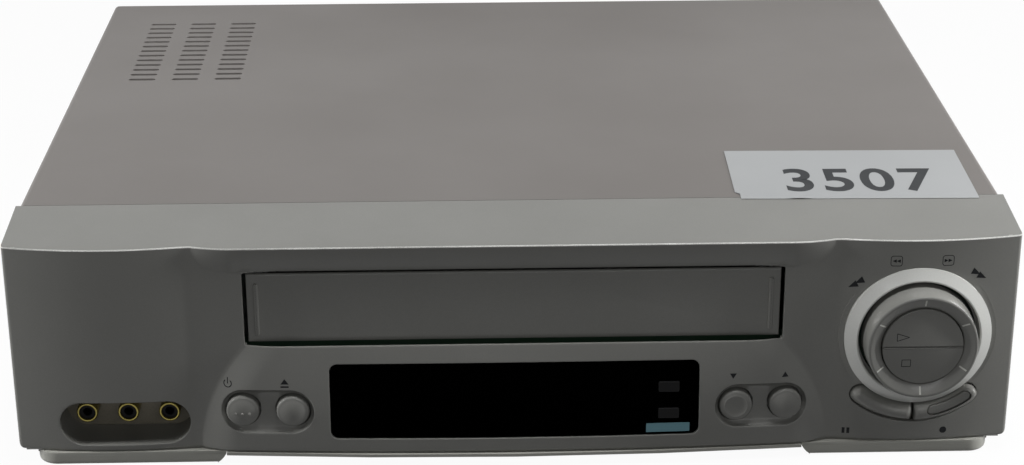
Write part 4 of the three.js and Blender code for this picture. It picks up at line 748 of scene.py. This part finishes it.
for side in (-1, 1):
    rib = rounded(side * (door_half - rib_inset), (door_low + hinge_z) / 2, rib_width,
                  hinge_z - door_low - rib_margin * 2, rib_width / 2)
    rib_levels = eased(door_front - rib_rise, door_back - rib_root, rib_soft)
    combine(door, plate("rib", rib, rib_levels, silver), "UNION")
smooth(door, 34)
hang(door, "door", "painted_abs", "cassette_door")


# Display window: a smoked acrylic plate, polished, that follows the pad a little below its face.
# Two small oblong holes at its right end are for the menu and set keys.
window_set = 0.35
window_thick = 2
window_trim = 2
key_x = 58.5
key_width = 8
key_height = 4.4
key_round = 0.5
key_heights = {"menu_key": 25.6, "set_key": 14.9}
# Smoked acrylic, polished: near black. Its highlight is left out, as the white surroundings would
# veil it.
smoked = finish("smoked_acrylic", "010101", "020202", 0.07, patch=111, grain=4, bump=0.004,
                specular=0)
across = spread((-window_half, window_half, 70))
rows = spread((window_low, window_high, 24))
x, z = np.meshgrid(across, rows, indexing="ij")
near = pad_rise(x, z) + window_set
far = near + window_thick
faces_of_plate = (np.stack((x, near, z), -1), np.stack((x, far, z), -1)[:, ::-1])
window = loft("window_plate", np.concatenate(faces_of_plate, 1), smoked)
window_edge = rounded(0, window_middle, window_half * 2, window_high - window_low, window_round)
combine(window, prism(window_edge, -deep, window_trim), "INTERSECT")
for key_z in key_heights.values():
    hole = rounded(key_x, key_z, key_width + play_gap * 2, key_height + play_gap * 2,
                   key_round)
    combine(window, prism(hole, -deep, deep))
smooth(window, 30)
hang(window, "case", "smoked_acrylic", "display_window")

# Menu and set keys: small black keys that stand a hair proud of the window, each with its stem.
cap_proud = 0.3
cap_soft = 0.35
cap_stem_radius = 1.9
cap_stem_root = 0.3
cap_stem_end = 7.2
# Black ABS, moulded against a finely blasted tool: dark, with next to no shine.
black = finish("black_plastic", "0E0E0F", "141415", 0.4, patch=33.3, grain=1.43, bump=0.08,
               specular=0.08)
for body, key_z in key_heights.items():
    front = float(pad_rise(key_x, key_z)) + window_set - cap_proud
    cap = plate(body + "_cap", rounded(key_x, key_z, key_width, key_height, key_round),
                eased(front, 0, cap_soft), black)
    stem = prism(disc(key_x, key_z, cap_stem_radius, 24), -cap_stem_root, cap_stem_end)
    combine(cap, stem, "UNION")
    smooth(cap, 34)
    hang(cap, body, "black_plastic", body.replace("_key", "_button"))


# Round buttons: standby and eject at the left, channel down and up at the right. Each is a moulded
# cap with a rounded rim and a slight dome, a flange behind the panel and a stem to its switch.
button_proud = 1
button_edge = 1.2
button_dome = 1
flange = 1
flange_seat = 1.3
stem_radius = 2.2
stem_end = 7.2
dish_radius = 4.2
dish_deep = 1.2
dish_power = 0.75
buttons = {"standby_key": (-well_x - button_spread, "standby_button"),
           "eject_key": (-well_x + button_spread, "eject_button"),
           "channel_down_key": (well_x - button_spread, "channel_down_button"),
           "channel_up_key": (well_x + button_spread, "channel_up_button")}
for body, (x, node) in buttons.items():
    front = float(pad_rise(x, button_z)) - button_proud
    turn_by = np.linspace(0, np.pi / 2, 9)
    rim = np.column_stack((button_radius - button_edge * (1 - np.sin(turn_by)),
                           front + button_dome + button_edge * (1 - np.cos(turn_by))))
    radii = np.linspace(0, button_radius - button_edge, 14)[:-1]
    dome = front + button_dome * (radii / (button_radius - button_edge)) ** 2
    if body == "channel_down_key":
        hollow = np.clip(1 - (radii / dish_radius) ** 2, 0, 1)
        dome = dome + dish_deep * hollow**dish_power
    face = np.column_stack((radii, dome))
    shank = ((button_radius, flange_seat), (button_radius + flange, flange_seat),
             (button_radius + flange, flange_seat + flange), (stem_radius, flange_seat + flange),
             (stem_radius, stem_end), (0, stem_end))
    cap = turned(node + "_cap", np.concatenate((face, rim, shank)), x, button_z, silver)
    hang(cap, body, "painted_abs", node)


# Dial bezel: a fixed ring of bright-painted ABS, seated in the panel and rounded over its outside.
bezel_width = 4.9
bezel_proud = 2.6
bezel_seat_gap = 0.05
bezel_lip = 0.3
bezel_rounds = (0.05, 0.3, 0.5, 0.5, 0.1, 0.05)
# Bright silver paint on ABS: far paler than the panel's, and its rim catches more light.
bright = finish("bright_painted_abs", "DEDFDB", "D4D5D1", 0.22, patch=71.4, grain=1.11, bump=0.04)
bezel_front = dial_face - bezel_proud
bezel_inner = bezel_radius - bezel_width
bezel_back = bezel_floor - bezel_seat_gap
bezel_profile = softened((
    (bezel_inner, bezel_back),
    (bezel_inner, bezel_front + bezel_lip),
    (bezel_inner + bezel_lip * 2, bezel_front),
    (bezel_radius - bezel_lip, dial_face - bezel_lip),
    (bezel_radius, dial_face - bezel_lip / 2),
    (bezel_radius, bezel_back),
), bezel_rounds, 6)
bezel = turned("bezel_ring", bezel_profile, dial_x, dial_z, bright, 144, closed=True)
hang(bezel, "case", "bright_abs", "dial_bezel")

# Shuttle ring: a proud ring with a dished face round the keys, on a skirt that turns in the panel.
# Six short ticks are printed on its face, a sixth of a turn apart.
ring_proud = 11
ring_front = dial_face - ring_proud
ring_base = 21.4
ring_rim = 20.7
rim_width = 0.9
rim_drop = 0.3
ring_crest = ring_rim - rim_width
ring_bore = 15.6
ring_bevel = 2
ring_float = 0.8
ring_skirt_end = 5
ring_rounds = (0.35, 0.5, 0.9, 0.5, 0.3, 0.3, 0.3)
ring_foot = bezel_floor - ring_float
ring_profile = softened((
    (ring_bore, ring_front + ring_bevel),
    (ring_crest, ring_front),
    (ring_rim, ring_front + rim_drop),
    (ring_base, ring_foot),
    (skirt_radius, ring_foot),
    (skirt_radius, ring_skirt_end),
    (ring_bore, ring_skirt_end),
), ring_rounds, 6)
ring = turned("shuttle_ring_knob", ring_profile, dial_x, dial_z, silver, 144, closed=True)
hang(ring, "shuttle", "painted_abs", "shuttle_ring")
# Pale pad-printed ink: flat and even, with no shine of its own.
paint = finish("white_print", "D8D9D2", "CFD0C8", 0.5, patch=16.7, grain=0.833, bump=0.02)
tick_inner = 16.5
tick_outer = 19.4
tick_half = 0.32
print_lift = 0.03
ring_slope = ring_bevel / (ring_crest - ring_bore)
for turn_by in np.radians(np.arange(0, 360, 60)):
    radii = np.linspace(tick_inner, tick_outer, 5)
    depth = ring_front + (ring_crest - radii) * ring_slope - print_lift
    sides = np.array((-tick_half, tick_half))[:, None]
    radial = np.array((np.sin(turn_by), np.cos(turn_by)))
    tangent = np.array((np.cos(turn_by), -np.sin(turn_by)))
    x = dial_x + radial[0] * radii + tangent[0] * sides
    z = dial_z + radial[1] * radii + tangent[1] * sides
    points = np.stack((x, np.broadcast_to(depth, x.shape), z), -1)
    corner = np.arange(4)
    strips = np.stack((corner, corner + 1, corner + 6, corner + 5), -1).tolist()
    tick = make(f"tick_{round(np.degrees(turn_by))}", points, strips, paint)
    hang(tick, "shuttle", "painted_abs")

# Play and stop keys: the two halves of a disc inside the ring, each on its own stem.
key_split = 0.12
key_cap_thick = 4
key_soft = 0.5
half_radius = ring_bore - play_gap - key_split / 2
half_set = 1
half_front = ring_front + half_set
half_tip = 0.6
half_arc = 0.05
stem_out = 6
stem_wide = 4
stem_high = 2
stem_start = 2
stem_soft = 0.3
key_lean = 0.05


def on_keys(x, z):
    """Depth of the two keys' faces: half_front + key_lean (|z| - half), z from the split."""
    return half_front + key_lean * (np.abs(z - dial_z) - half_radius / 2)


def lean(made):
    """Tilts the front of a key so that the pair stands highest along the split."""
    spots = np.zeros(len(made.data.vertices) * 3)
    made.data.vertices.foreach_get("co", spots)
    spots = spots.reshape(-1, 3)
    in_front = spots[:, 1] / mm - depth_shift < half_front + key_soft * 1.5
    shift = on_keys(spots[:, 0], spots[:, 2] / mm - height_shift) - half_front
    spots[:, 1] += np.where(in_front, shift * mm, 0)
    made.data.vertices.foreach_set("co", spots.ravel())
    made.data.update()


for name, sign in (("play", 1), ("stop", -1)):
    sweep = np.linspace(0, np.pi, 60)
    outline = np.stack((np.cos(sweep) * half_radius, np.sin(sweep) * half_radius), -1)
    outline = softened(outline, np.where(np.arange(60) % 59 == 0, half_tip, half_arc), 4)
    outline = outline * sign + (dial_x, dial_z + sign * key_split / 2)
    levels = eased(half_front, half_front + key_cap_thick, key_soft)
    cap = plate(name + "_cap", outline, levels, silver, 1)
    stem_z = dial_z + sign * stem_out
    stem = bar("stem", (dial_x - stem_wide, half_front + stem_start, stem_z - stem_high),
               (dial_x + stem_wide, stem_end, stem_z + stem_high), stem_soft, silver, 1)
    combine(cap, stem, "UNION")
    lean(cap)
    smooth(cap, 30)
    hang(cap, name + "_key", "painted_abs", name + "_button")


# Pause key and record surround: two crowned arcs under the dial, split straight below it. The
# record key lies in a curved slot in the surround.
band_inner = bezel_radius + play_gap
split_angle = 0.6
band_proud = 2.3
band_front = dial_face - band_proud
band_back = 1.8
band_crown = 2.6
band_edge = 2.6
frame_crown = 2
frame_edge = 2
record_inner = 29.6
record_outer = 33.4
record_start = 13.4
record_end = 38.2
record_set = 0.5
record_crown = 0.3
record_edge = 0.5
record_stem_radius = 1.6
band_stem_root = 0.3
blunt_run = 1.4
blunt_round = 1.2


def arc_key(name, radii, angles, round_ends, depths, crown, edge, look):
    """Crowned key on an arc. From edge e inward its face lies at
    front + crown v^2 + e (1 - sqrt(1 - (1 - d / e)^2)), v across it and d from its outline."""
    inner, outer = radii
    middle, half = (inner + outer) / 2, (outer - inner) / 2
    start, end = np.radians(np.subtract(angles, 90)) * middle
    start_cap, end_cap = (half if is_round else 0 for is_round in round_ends)
    ease = np.linspace(0, np.pi / 2, 14)
    near_start = start - start_cap + (half if start_cap else blunt_run) * (1 - np.cos(ease))
    near_end = end + end_cap - (half if end_cap else blunt_run) * (1 - np.cos(ease))
    s = np.concatenate((near_start, np.linspace(near_start[-1], near_end[-1], 50)[1:-1], near_end[::-1]))
    beyond = np.maximum(0, np.maximum(start - s, s - end))
    beyond = np.where((s < start) & (start_cap == 0) | (s > end) & (end_cap == 0), 0, beyond)
    wide = np.sqrt(np.maximum(0, half**2 - beyond**2))
    square = np.minimum(np.where(start_cap == 0, s - start, half), np.where(end_cap == 0, end - s, half))
    in_corner = np.maximum(0, blunt_round - square)
    corner = np.sqrt(np.maximum(0, blunt_round**2 - in_corner**2))
    wide = np.minimum(wide, half - blunt_round + corner)
    v = np.sin(np.linspace(-np.pi / 2, np.pi / 2, 25))
    over = wide[:, None] * v[None, :]
    from_edge = np.minimum(half - np.hypot(over, beyond[:, None]),
                           np.maximum(0, square)[:, None])
    share = np.clip(1 - from_edge / edge, 0, 1)
    face = depths[0] + crown * (over / half) ** 2 + edge * (1 - np.sqrt(1 - share**2))
    angle = s / middle
    radius = middle + over
    x = dial_x + radius * np.cos(angle)[:, None]
    z = dial_z + radius * np.sin(angle)[:, None]
    front = np.stack((x, face, z), -1)
    back = np.stack((x, np.full_like(x, depths[1]), z), -1)[:, ::-1]
    return loft(name, np.concatenate((front, back), 1), look)


pause = arc_key("pause_cap", (band_inner, band_outer), (-band_end, -split_angle), (True, False),
                (band_front, band_back), band_crown, band_edge, silver)
pause_at = np.radians(-(band_end + split_angle) / 2 - 90)
band_middle = (band_inner + band_outer) / 2
stem_at = (dial_x + band_middle * np.cos(pause_at), dial_z + band_middle * np.sin(pause_at))
combine(pause, prism(disc(*stem_at, stem_radius, 24), band_back - band_stem_root, stem_end), "UNION")
smooth(pause, 34)
hang(pause, "pause_key", "painted_abs", "pause_button")

surround = arc_key("record_frame", (band_inner, band_outer), (split_angle, band_end), (False, True),
                   (band_front, band_back), frame_crown, frame_edge, silver)
slot_band = band(record_inner - play_gap, record_outer + play_gap, record_start, record_end)
combine(surround, prism(slot_band, -deep, deep))
smooth(surround, 34)
hang(surround, "case", "painted_abs", "record_surround")

record = arc_key("record_cap", (record_inner, record_outer), (record_start, record_end), (True, True),
                 (band_front + record_set, band_back), record_crown, record_edge, silver)
record_at = np.radians((record_start + record_end) / 2 - 90)
record_middle = (record_inner + record_outer) / 2
stem_at = (dial_x + record_middle * np.cos(record_at), dial_z + record_middle * np.sin(record_at))
stem = prism(disc(*stem_at, record_stem_radius, 24), band_back - band_stem_root, stem_end)
combine(record, stem, "UNION")
smooth(record, 34)
hang(record, "record_key", "painted_abs", "record_button")


# Front jacks: three phono sockets on a dark moulded block behind the recess. Each is a thin plated
# brass shell round a black insulator, with a hole for the plug's pin.
jack_pitch = 15.8
jack_radius = 4.1
jack_bore = 3.15
pin_hole = 1.6
core_set = 1.1
jack_reach = 7.6
jack_seat_gap = 0.05
jack_seat = recess_back + play_gap
jack_front = jack_seat - jack_reach
shell_lip = 0.1
shell_slope = 0.4
shell_fall = 0.5
shell_rounds = (0.02, 0.1, 0.2, 0.3, 0.02)
core_slope = 0.2
drill = 6
# Thin yellow plating on pressed brass: a dull gold with a soft shine.
brass = finish("plated_jack_metal", "9C8F4C", "85793E", 0.3, patch=16.7, grain=0.667, bump=0.05,
               metal=0.7)
seat = jack_seat - jack_seat_gap
shell = softened(((jack_bore, seat), (jack_bore, jack_front + shell_lip),
                  (jack_radius - shell_slope, jack_front), (jack_radius, jack_front + shell_fall),
                  (jack_radius, seat)), shell_rounds, 4)
core_face = jack_front + core_set
core = ((0, jack_front + drill), (pin_hole, jack_front + drill), (pin_hole, core_face + core_slope),
        (pin_hole + core_slope, core_face), (jack_bore, core_face), (jack_bore, seat), (0, seat))
for place, name in enumerate(("front_jack_video", "front_jack_left", "front_jack_right")):
    x = jack_x + (place - 1) * jack_pitch
    made = turned(name + "_shell", shell, x, jack_z, brass, 48, closed=True)
    hang(made, "case", "jack_metal", name)
    hang(turned(name + "_core", core, x, jack_z, black, 48), "case", "black_plastic")


# Top cover: one folded sheet of painted steel, 1 mm thick, bent over a round edge at each side.
# Three banks of vent slots are punched at the left, and two tabs turn down over the rear panel.
cover_half = 189
cover_bend = 2.5
cover_sheet = 1
cover_hem = 3
cover_gap = 0.3
cover_front = strip_depth + cover_gap
case_back = 299.5
bank_places = (-161, -142, -123)
vent_width = 12
vent_rows = 13
vent_pitch = 6.9
vent_front = 185.3
vent_slot = 2.5
vent_flat = 0.05
punch_reach = 3
tab_x = 120
tab_width = 16
tab_height = 12
tab_set = 0.2
tab_round = 0.2
# Sheet steel with baked grey-brown enamel: dull and even, with a fine orange-peel grain.
paint_steel = finish("painted_steel", "7E7A77", "777370", 0.45, patch=167, grain=0.769, bump=0.16,
                     specular=0.15)


def folded(inset):
    """Outline of the fold, from its right hem over the top to its left hem, as (x, height)."""
    bend = np.linspace(0, np.pi / 2, 20)
    radius = cover_bend - inset
    side = cover_half - cover_bend
    top = strip_height - cover_bend
    right = np.stack((side + radius * np.cos(bend), top + radius * np.sin(bend)), -1)
    left = right[::-1] * (-1, 1)
    hems = np.array(((cover_half - inset, cover_hem), (inset - cover_half, cover_hem)))
    return np.concatenate((hems[:1], right, left, hems[1:]))


fold = np.concatenate((folded(0), folded(cover_sheet)[::-1]))
cover_rings = np.stack([np.column_stack((fold[:, 0], np.full(len(fold), y), fold[:, 1]))
                        for y in (cover_front, case_back)])
cover = loft("cover_sheet", cover_rings, paint_steel)
slot_middle_y = vent_front + np.arange(vent_rows) * vent_pitch
vent = rounded(0, 0, vent_width, vent_slot, vent_slot / 2 - vent_flat, 5)
for bank in bank_places:
    for y in slot_middle_y:
        rings = [np.column_stack((vent[:, 0] + bank, vent[:, 1] + y, np.full(len(vent), z)))
                 for z in (strip_height - punch_reach, strip_height + punch_reach)]
        combine(cover, loft("tool", rings, None))
for side in (-1, 1):
    low = (side * tab_x - tab_width / 2, case_back - cover_sheet, strip_height - tab_height)
    high = (side * tab_x + tab_width / 2, case_back, strip_height - tab_set)
    tab = bar("tab", low, high, tab_round, paint_steel)
    combine(cover, tab, "UNION")
smooth(cover, 34)
hang(cover, "case", "painted_steel", "top_cover")


# Paper label: a white sheet stuck on the cover a little askew, with a nick out of its front left
# corner, its front edge lifted in one place, and a plain printed number.
label_right = 180.5
label_width = 93.5
label_depth = 52.5
label_back = 84
label_turn = -0.018
label_lift = 0.12
label_thick = 0.12
lift_u = -22.5
lift_half = 6
lift_rise = 0.08
nick_u = 1.8
nick_v = 6
nick_run = 0.4
curl_from_share = 0.3
curl_share = 0.2
number = "3507"
number_low = np.array((-26, -19.5))
number_high = np.array((33, 5.5))
number_bold_share = 0.018
number_spacing_share = 1.12
ink_lift = 0.03
ink_thick = 0.05
# Uncoated paper: matt and faintly fibrous.
paper_look = finish("label_paper", "B5B7B8", "AFB1B2", 0.75, patch=83.3, grain=0.667, bump=0.12,
                    specular=0.2)
# Marker ink soaked into the paper: near black and matt.
ink = finish("marker_ink", "2A2C2E", "313335", 0.6, patch=16.7, grain=0.833, bump=0.02,
             specular=0.2)
label_middle = np.array((label_right - label_width / 2, label_back - label_depth / 2))


def on_label(u, v, lift):
    """Place on the label: u, v millimetres from its middle, turned, lifted where its edge curls."""
    x = label_middle[0] + u * np.cos(label_turn) - v * np.sin(label_turn)
    y = label_middle[1] + u * np.sin(label_turn) + v * np.cos(label_turn)
    edge = np.clip((-v / label_depth - curl_from_share) / curl_share, 0, 1) ** 2
    bump = np.clip(1 - ((u - lift_u) / lift_half) ** 2, 0, 1) ** 2
    sag = strip_slope * np.maximum(0, strip_depth - y) * (1 - edge * bump)
    return np.stack((x, y, strip_height + label_lift - sag + lift_rise * edge * bump + lift), -1)


u, v = np.meshgrid(np.linspace(-0.5, 0.5, 90) * label_width, np.linspace(-0.5, 0.5, 40) * label_depth,
                   indexing="ij")
low_rows = np.clip((-v - label_depth / 2 + nick_v) / nick_run, 0, 1)
u = np.maximum(u, -label_width / 2 + nick_u * low_rows)
label_grid = np.concatenate((on_label(u, v, 0), on_label(u, v, label_thick)[:, ::-1]), 1)
label = loft("label_sheet", label_grid, paper_look)
hang(label, "case", "label_paper", "paper_label")

digits = bpy.data.curves.new("digits", "FONT")
digits.body = number
digits.offset = number_bold_share
digits.space_character = number_spacing_share
drawn = bpy.data.objects.new("digits", digits)
bpy.context.scene.collection.objects.link(drawn)
bpy.context.view_layer.update()
flat = bpy.data.meshes.new_from_object(drawn.evaluated_get(bpy.context.evaluated_depsgraph_get()))
bpy.data.objects.remove(drawn)
outline = np.zeros(len(flat.vertices) * 3)
flat.vertices.foreach_get("co", outline)
outline = outline.reshape(-1, 3)[:, :2]
share = (outline - outline.min(0)) / np.ptp(outline, axis=0)
u, v = (number_low + share * (number_high - number_low)).T
top = on_label(u, v, label_thick + ink_lift)
count = len(top)
upper_faces = [list(face.vertices) for face in flat.polygons]
lower_faces = [[corner + count for corner in face[::-1]] for face in upper_faces]
# An edge that only one face uses lies on the outline, and gets a wall of its own.
uses = dict.fromkeys((a, b) for face in upper_faces
                     for a, b in zip(face, face[1:] + face[:1]))
sides = [[a, a + count, b + count, b] for a, b in uses if (b, a) not in uses]
number_points = np.concatenate((top, top - (0, 0, ink_thick)))
number_print = make("label_number", number_points, upper_faces + lower_faces + sides, ink)
hang(number_print, "case", "label_paper")


# Chassis and feet: grey moulded ABS. The tray's floor shows as a lip under the pad; the two broad
# front feet are rounded at their outer corners and sloped off at their inner ends.
foot_low = -height_shift
foot_high = -1.55
foot_lip = -0.12
lip_back = 1.6
foot_inner = 110.2
foot_outer = 183.2
foot_front = -3.7
foot_back = 24.3
foot_round = 8
foot_slope = 3.8
foot_edge = 1.5
lip_edge = 0.3
lip_root = 0.5
lip_root_inset = 0.05
plan_round = 0.4
slope_power = 1.7
# Light grey ABS, moulded with a fine satin grain.
foot_look = finish("grey_abs", "B9B9B2", "B0B0A9", 0.42, patch=50, grain=1.25, bump=0.08,
                   specular=0.35)


def foot_level(plan, side, height, inset):
    """One level of a foot: its plan drawn in by inset, its inner end swept off towards the floor."""
    at = plan - outward(plan) * inset
    share = np.clip((foot_lip - height) / (foot_lip - foot_low), 0, 1)
    at[:, 0] = np.maximum(at[:, 0], foot_inner + foot_slope * share**slope_power)
    return np.column_stack((at[:, 0] * side, at[:, 1], np.full(len(at), height)))


for side, node in ((-1, "front_left_foot"), (1, "front_right_foot")):
    arc = np.linspace(-np.pi / 2, 0, 16)
    corner = np.stack((foot_outer - foot_round + foot_round * np.cos(arc),
                       foot_front + foot_round + foot_round * np.sin(arc)), -1)
    rest_of = ((foot_outer, foot_back), (foot_inner, foot_back), (foot_inner, foot_front))
    plan = softened(np.concatenate((corner, rest_of)), plan_round, 3)
    t = np.linspace(0, np.pi / 2, 6)[::-1]
    heights = np.concatenate((foot_low + foot_edge * (1 - np.sin(t)),
                              np.linspace(foot_low + foot_edge, foot_high, 5)[1:]))
    insets = np.concatenate((foot_edge * (1 - np.cos(t)), np.zeros(4)))
    rings = [foot_level(plan, side, height, inset) for height, inset in zip(heights, insets)]
    foot = loft(node + "_pad", np.asarray(rings), foot_look)
    front_plan = np.column_stack((plan[:, 0], np.minimum(plan[:, 1], lip_back)))
    steps = np.linalg.norm(front_plan - np.roll(front_plan, 1, axis=0), axis=1)
    front_plan = front_plan[steps > lip_edge / 9]
    levels = [(foot_high - lip_root, lip_root_inset), (foot_lip - lip_edge, 0),
              (foot_lip - lip_edge / 4, lip_edge / 4), (foot_lip, lip_edge)]
    rings = [foot_level(front_plan, side, height, inset) for height, inset in levels]
    combine(foot, loft("lip", np.asarray(rings), foot_look), "UNION")
    smooth(foot, 40)
    hang(foot, "case", "grey_abs", node)


# Printed symbols: plain transport and power marks in black ink, pad-printed on the panel and on the
# play and stop keys. Each is a thin print a hair proud of its face. Places are (x, height) in mm.
print_sink = 0.1
stroke_width = 0.36
box_line = stroke_width * 0.7
key_line = 0.25
power_x, power_z, power_radius = -108.7, 28, 1.45
power_bar = (-0.1, 1, 2.3)
eject_at = np.array((-87, 28.9))
eject_arrow = (2.1, 3.1)
eject_arrow_up = 0.5
eject_bar_size = (3.1, 0.6)
eject_bar_down = 1.6
channel_arrow = (2.1, 2.6)
channel_z = 29.3
channel_marks = (("channel_down_mark", 82.9, -90), ("channel_up_mark", 102.8, 90))
box_z = 75.1
box_size = (4.2, 4)
box_round = 0.9
box_arrow = (1.5, 1.4)
box_arrow_out = 0.75
box_marks = (("rewind_box", 142.6, 180), ("forward_box", 162, 0))
wind_arrow = (3.6, 2.8)
wind_marks = (("rewind_mark", ((126.9, 64.9), (129.2, 66.6)), 207),
              ("forward_mark", ((173.1, 69.7), (175.4, 68)), -27))
pause_mark_at = (127.4, 4)
pause_bar = (1.1, 2.4)
pause_bar_out = 0.9
bar_round = 0.05
record_dot_at = (164.8, 4.2)
record_dot_radius = 1.35
play_at = (144.9, 48.5)
play_size = (4.6, 3)
stop_left, stop_right = 144.9, 148.2
stop_low, stop_high = 36.4, 39.2
# Black pad-printed ink: flat, a little off black, with hardly any shine.
pad_print = finish("black_print", "17181A", "1C1D1F", 0.6, patch=16.7, grain=0.833, bump=0.02,
                   specular=0.12)


def printed(name, outlines, face=panel_face, body="case", slot="painted_abs", look=pad_print):
    """Thin print: each outline of (x, z) stands a hair proud of the face that it lies on."""
    points, faces, count = [], [], 0
    for outline in outlines:
        outline = np.asarray(outline, float)
        size = len(outline)
        depth = face(*outline.T)
        for shift in (print_sink, -print_lift):
            points.append(np.column_stack((outline[:, 0], depth + shift, outline[:, 1])))
        here = np.arange(size)
        after = (here + 1) % size
        faces += (np.stack((here, after, after + size, here + size), -1) + count).tolist()
        faces += [(here + count).tolist(), (here[::-1] + size + count).tolist()]
        count += size * 2
    hang(make(name, np.concatenate(points), faces, look), body, slot)


def stroke(path, width=stroke_width):
    """Outline of a line of even width along an open path."""
    path = np.asarray(path, float)
    along = np.gradient(path, axis=0)
    side = np.stack((along[:, 1], -along[:, 0]), -1)
    side = side / np.linalg.norm(side, axis=1)[:, None] * width / 2
    return np.concatenate((path + side, (path - side)[::-1]))


def arrow(x, z, width, height, turn=0):
    """Triangle on a middle, pointing right before it is turned anticlockwise by degrees."""
    corners = np.array(((-width / 2, -height / 2), (width / 2, 0), (-width / 2, height / 2)))
    c, s = np.cos(np.radians(turn)), np.sin(np.radians(turn))
    return corners @ np.array(((c, s), (-s, c))) + (x, z)


turn_by = np.radians(np.linspace(130, 410, 30))
ring_line = np.stack((power_x + power_radius * np.cos(turn_by),
                      power_z + power_radius * np.sin(turn_by)), -1)
bar_line = [(power_x, power_z + up) for up in power_bar]
printed("power_mark", [stroke(ring_line), stroke(bar_line)])
printed("eject_mark", [arrow(*(eject_at + (0, eject_arrow_up)), *eject_arrow, 90),
                       rounded(*(eject_at - (0, eject_bar_down)), *eject_bar_size, bar_round, 2)])
for name, x, turn in channel_marks:
    printed(name, [arrow(x, channel_z, *channel_arrow, turn)])
for name, x, turn in box_marks:
    line = rounded(x, box_z, *box_size, box_round)
    half = len(line) // 2
    halves = [stroke(line[: half + 1], box_line),
              stroke(np.concatenate((line[half:], line[:1])), box_line)]
    pair = [arrow(x + shift, box_z, *box_arrow, turn) for shift in (-box_arrow_out, box_arrow_out)]
    printed(name, halves + pair)
for name, ends, turn in wind_marks:
    printed(name, [arrow(x, z, *wind_arrow, turn) for x, z in ends])
printed("pause_mark", [rounded(pause_mark_at[0] + shift, pause_mark_at[1], *pause_bar, bar_round, 2)
                       for shift in (-pause_bar_out, pause_bar_out)])
printed("record_mark", [disc(*record_dot_at, record_dot_radius, 24)])

play_line = arrow(*play_at, *play_size)
play_path = np.concatenate((play_line, play_line[:1]))
printed("play_mark", [stroke(play_path[i : i + 2], key_line) for i in range(3)], on_keys, "play_key")
stop_path = ((stop_left, stop_low), (stop_right, stop_low), (stop_right, stop_high),
             (stop_left, stop_high), (stop_left, stop_low))
printed("stop_mark", [stroke(stop_path[i : i + 2], key_line) for i in range(4)], on_keys, "stop_key")

# Coloured tab: a bare oblong of pale blue ink, screen-printed on the window's lower right corner.
tab_middle = (58.3, 8.95)
tab_size = (16.6, 3.7)
tab_corner = 0.2
# Opaque screen ink on acrylic: even in colour, with a slight shine.
tab_print = finish("tab_print", "83B0BD", "7CA8B5", 0.5, patch=16.7, grain=0.833, bump=0.02,
                   specular=0.2)


def on_window(x, z):
    """Depth of the window's face: pad_rise + window_set."""
    return pad_rise(x, z) + window_set


printed("window_tab", [dense(rounded(*tab_middle, *tab_size, tab_corner, 3))], on_window, "case",
        "smoked_acrylic", tab_print)

# Finger dots: three small raised domes in a row on the standby button, moulded in one with it.
dot_pitch = 2.6
dot_radius = 0.5
dot_height = 0.55
dot_base = 0.1
dot_root = 0.8
dot_drop = 0.5
for place, x in enumerate((-dot_pitch, 0, dot_pitch)):
    dot_x = buttons["standby_key"][0] + x
    depth = float(pad_rise(dot_x, button_z)) - button_proud
    rise = np.linspace(0, np.pi / 2, 6)
    dome = np.column_stack((dot_radius * np.sin(rise), depth + dot_base - dot_height * np.cos(rise)))
    dot = np.concatenate((dome, ((dot_radius, depth + dot_root), (0, depth + dot_root))))
    hang(turned(f"standby_dot_{place}", dot, dot_x, button_z - dot_drop, silver, 16), "standby_key",
         "painted_abs")


# Everything behind the panel: the CAD model's own pieces, each in the finish of its material slot.
# Grey moulded plastic: dull, with a fine tool grain.
grey = finish("grey_moulded_plastic", "827D70", "716C60", 0.5, patch=33.3, grain=1.67, bump=0.12)
finishes = {
    "painted_steel": paint_steel, "painted_abs": silver, "bright_abs": bright, "smoked_acrylic": smoked,
    "label_paper": paper_look, "grey_abs": foot_look, "black_plastic": black, "grey_plastic": grey,
    "jack_metal": brass,
    "zinc_steel": finish("zinc_plated_steel", "A7A9A6", "979A98", 0.36, patch=28.6, grain=1.43, bump=0.08,
                         metal=0.8),
    "circuit_board": finish("circuit_board", "1E3A27", "1A3323", 0.5, patch=20, grain=2, bump=0.15),
    "tube_glass": finish("tube_glass", "0C1413", "121C1A", 0.08, patch=50, grain=3.33, bump=0.01),
    "aluminium": finish("turned_aluminium", "B4B6B8", "A6A8AA", 0.28, patch=25, grain=0.714, bump=0.06,
                        metal=0.9),
    "bronze": finish("sintered_bronze", "8A6A3C", "7B5D33", 0.5, patch=16.7, grain=0.909, bump=0.15,
                     metal=0.8),
    "rubber": finish("black_rubber", "1B1B1A", "232322", 0.75, patch=20, grain=1.11, bump=0.2),
    "acetal": finish("white_acetal", "CFCCC2", "C6C3B8", 0.4, patch=33.3, grain=1.43, bump=0.06),
}
for node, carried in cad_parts.items():
    for place in carried.material_slots:
        kind = place.material.name.split(".")[0]
        if kind in finishes:
            place.material = finishes[kind]
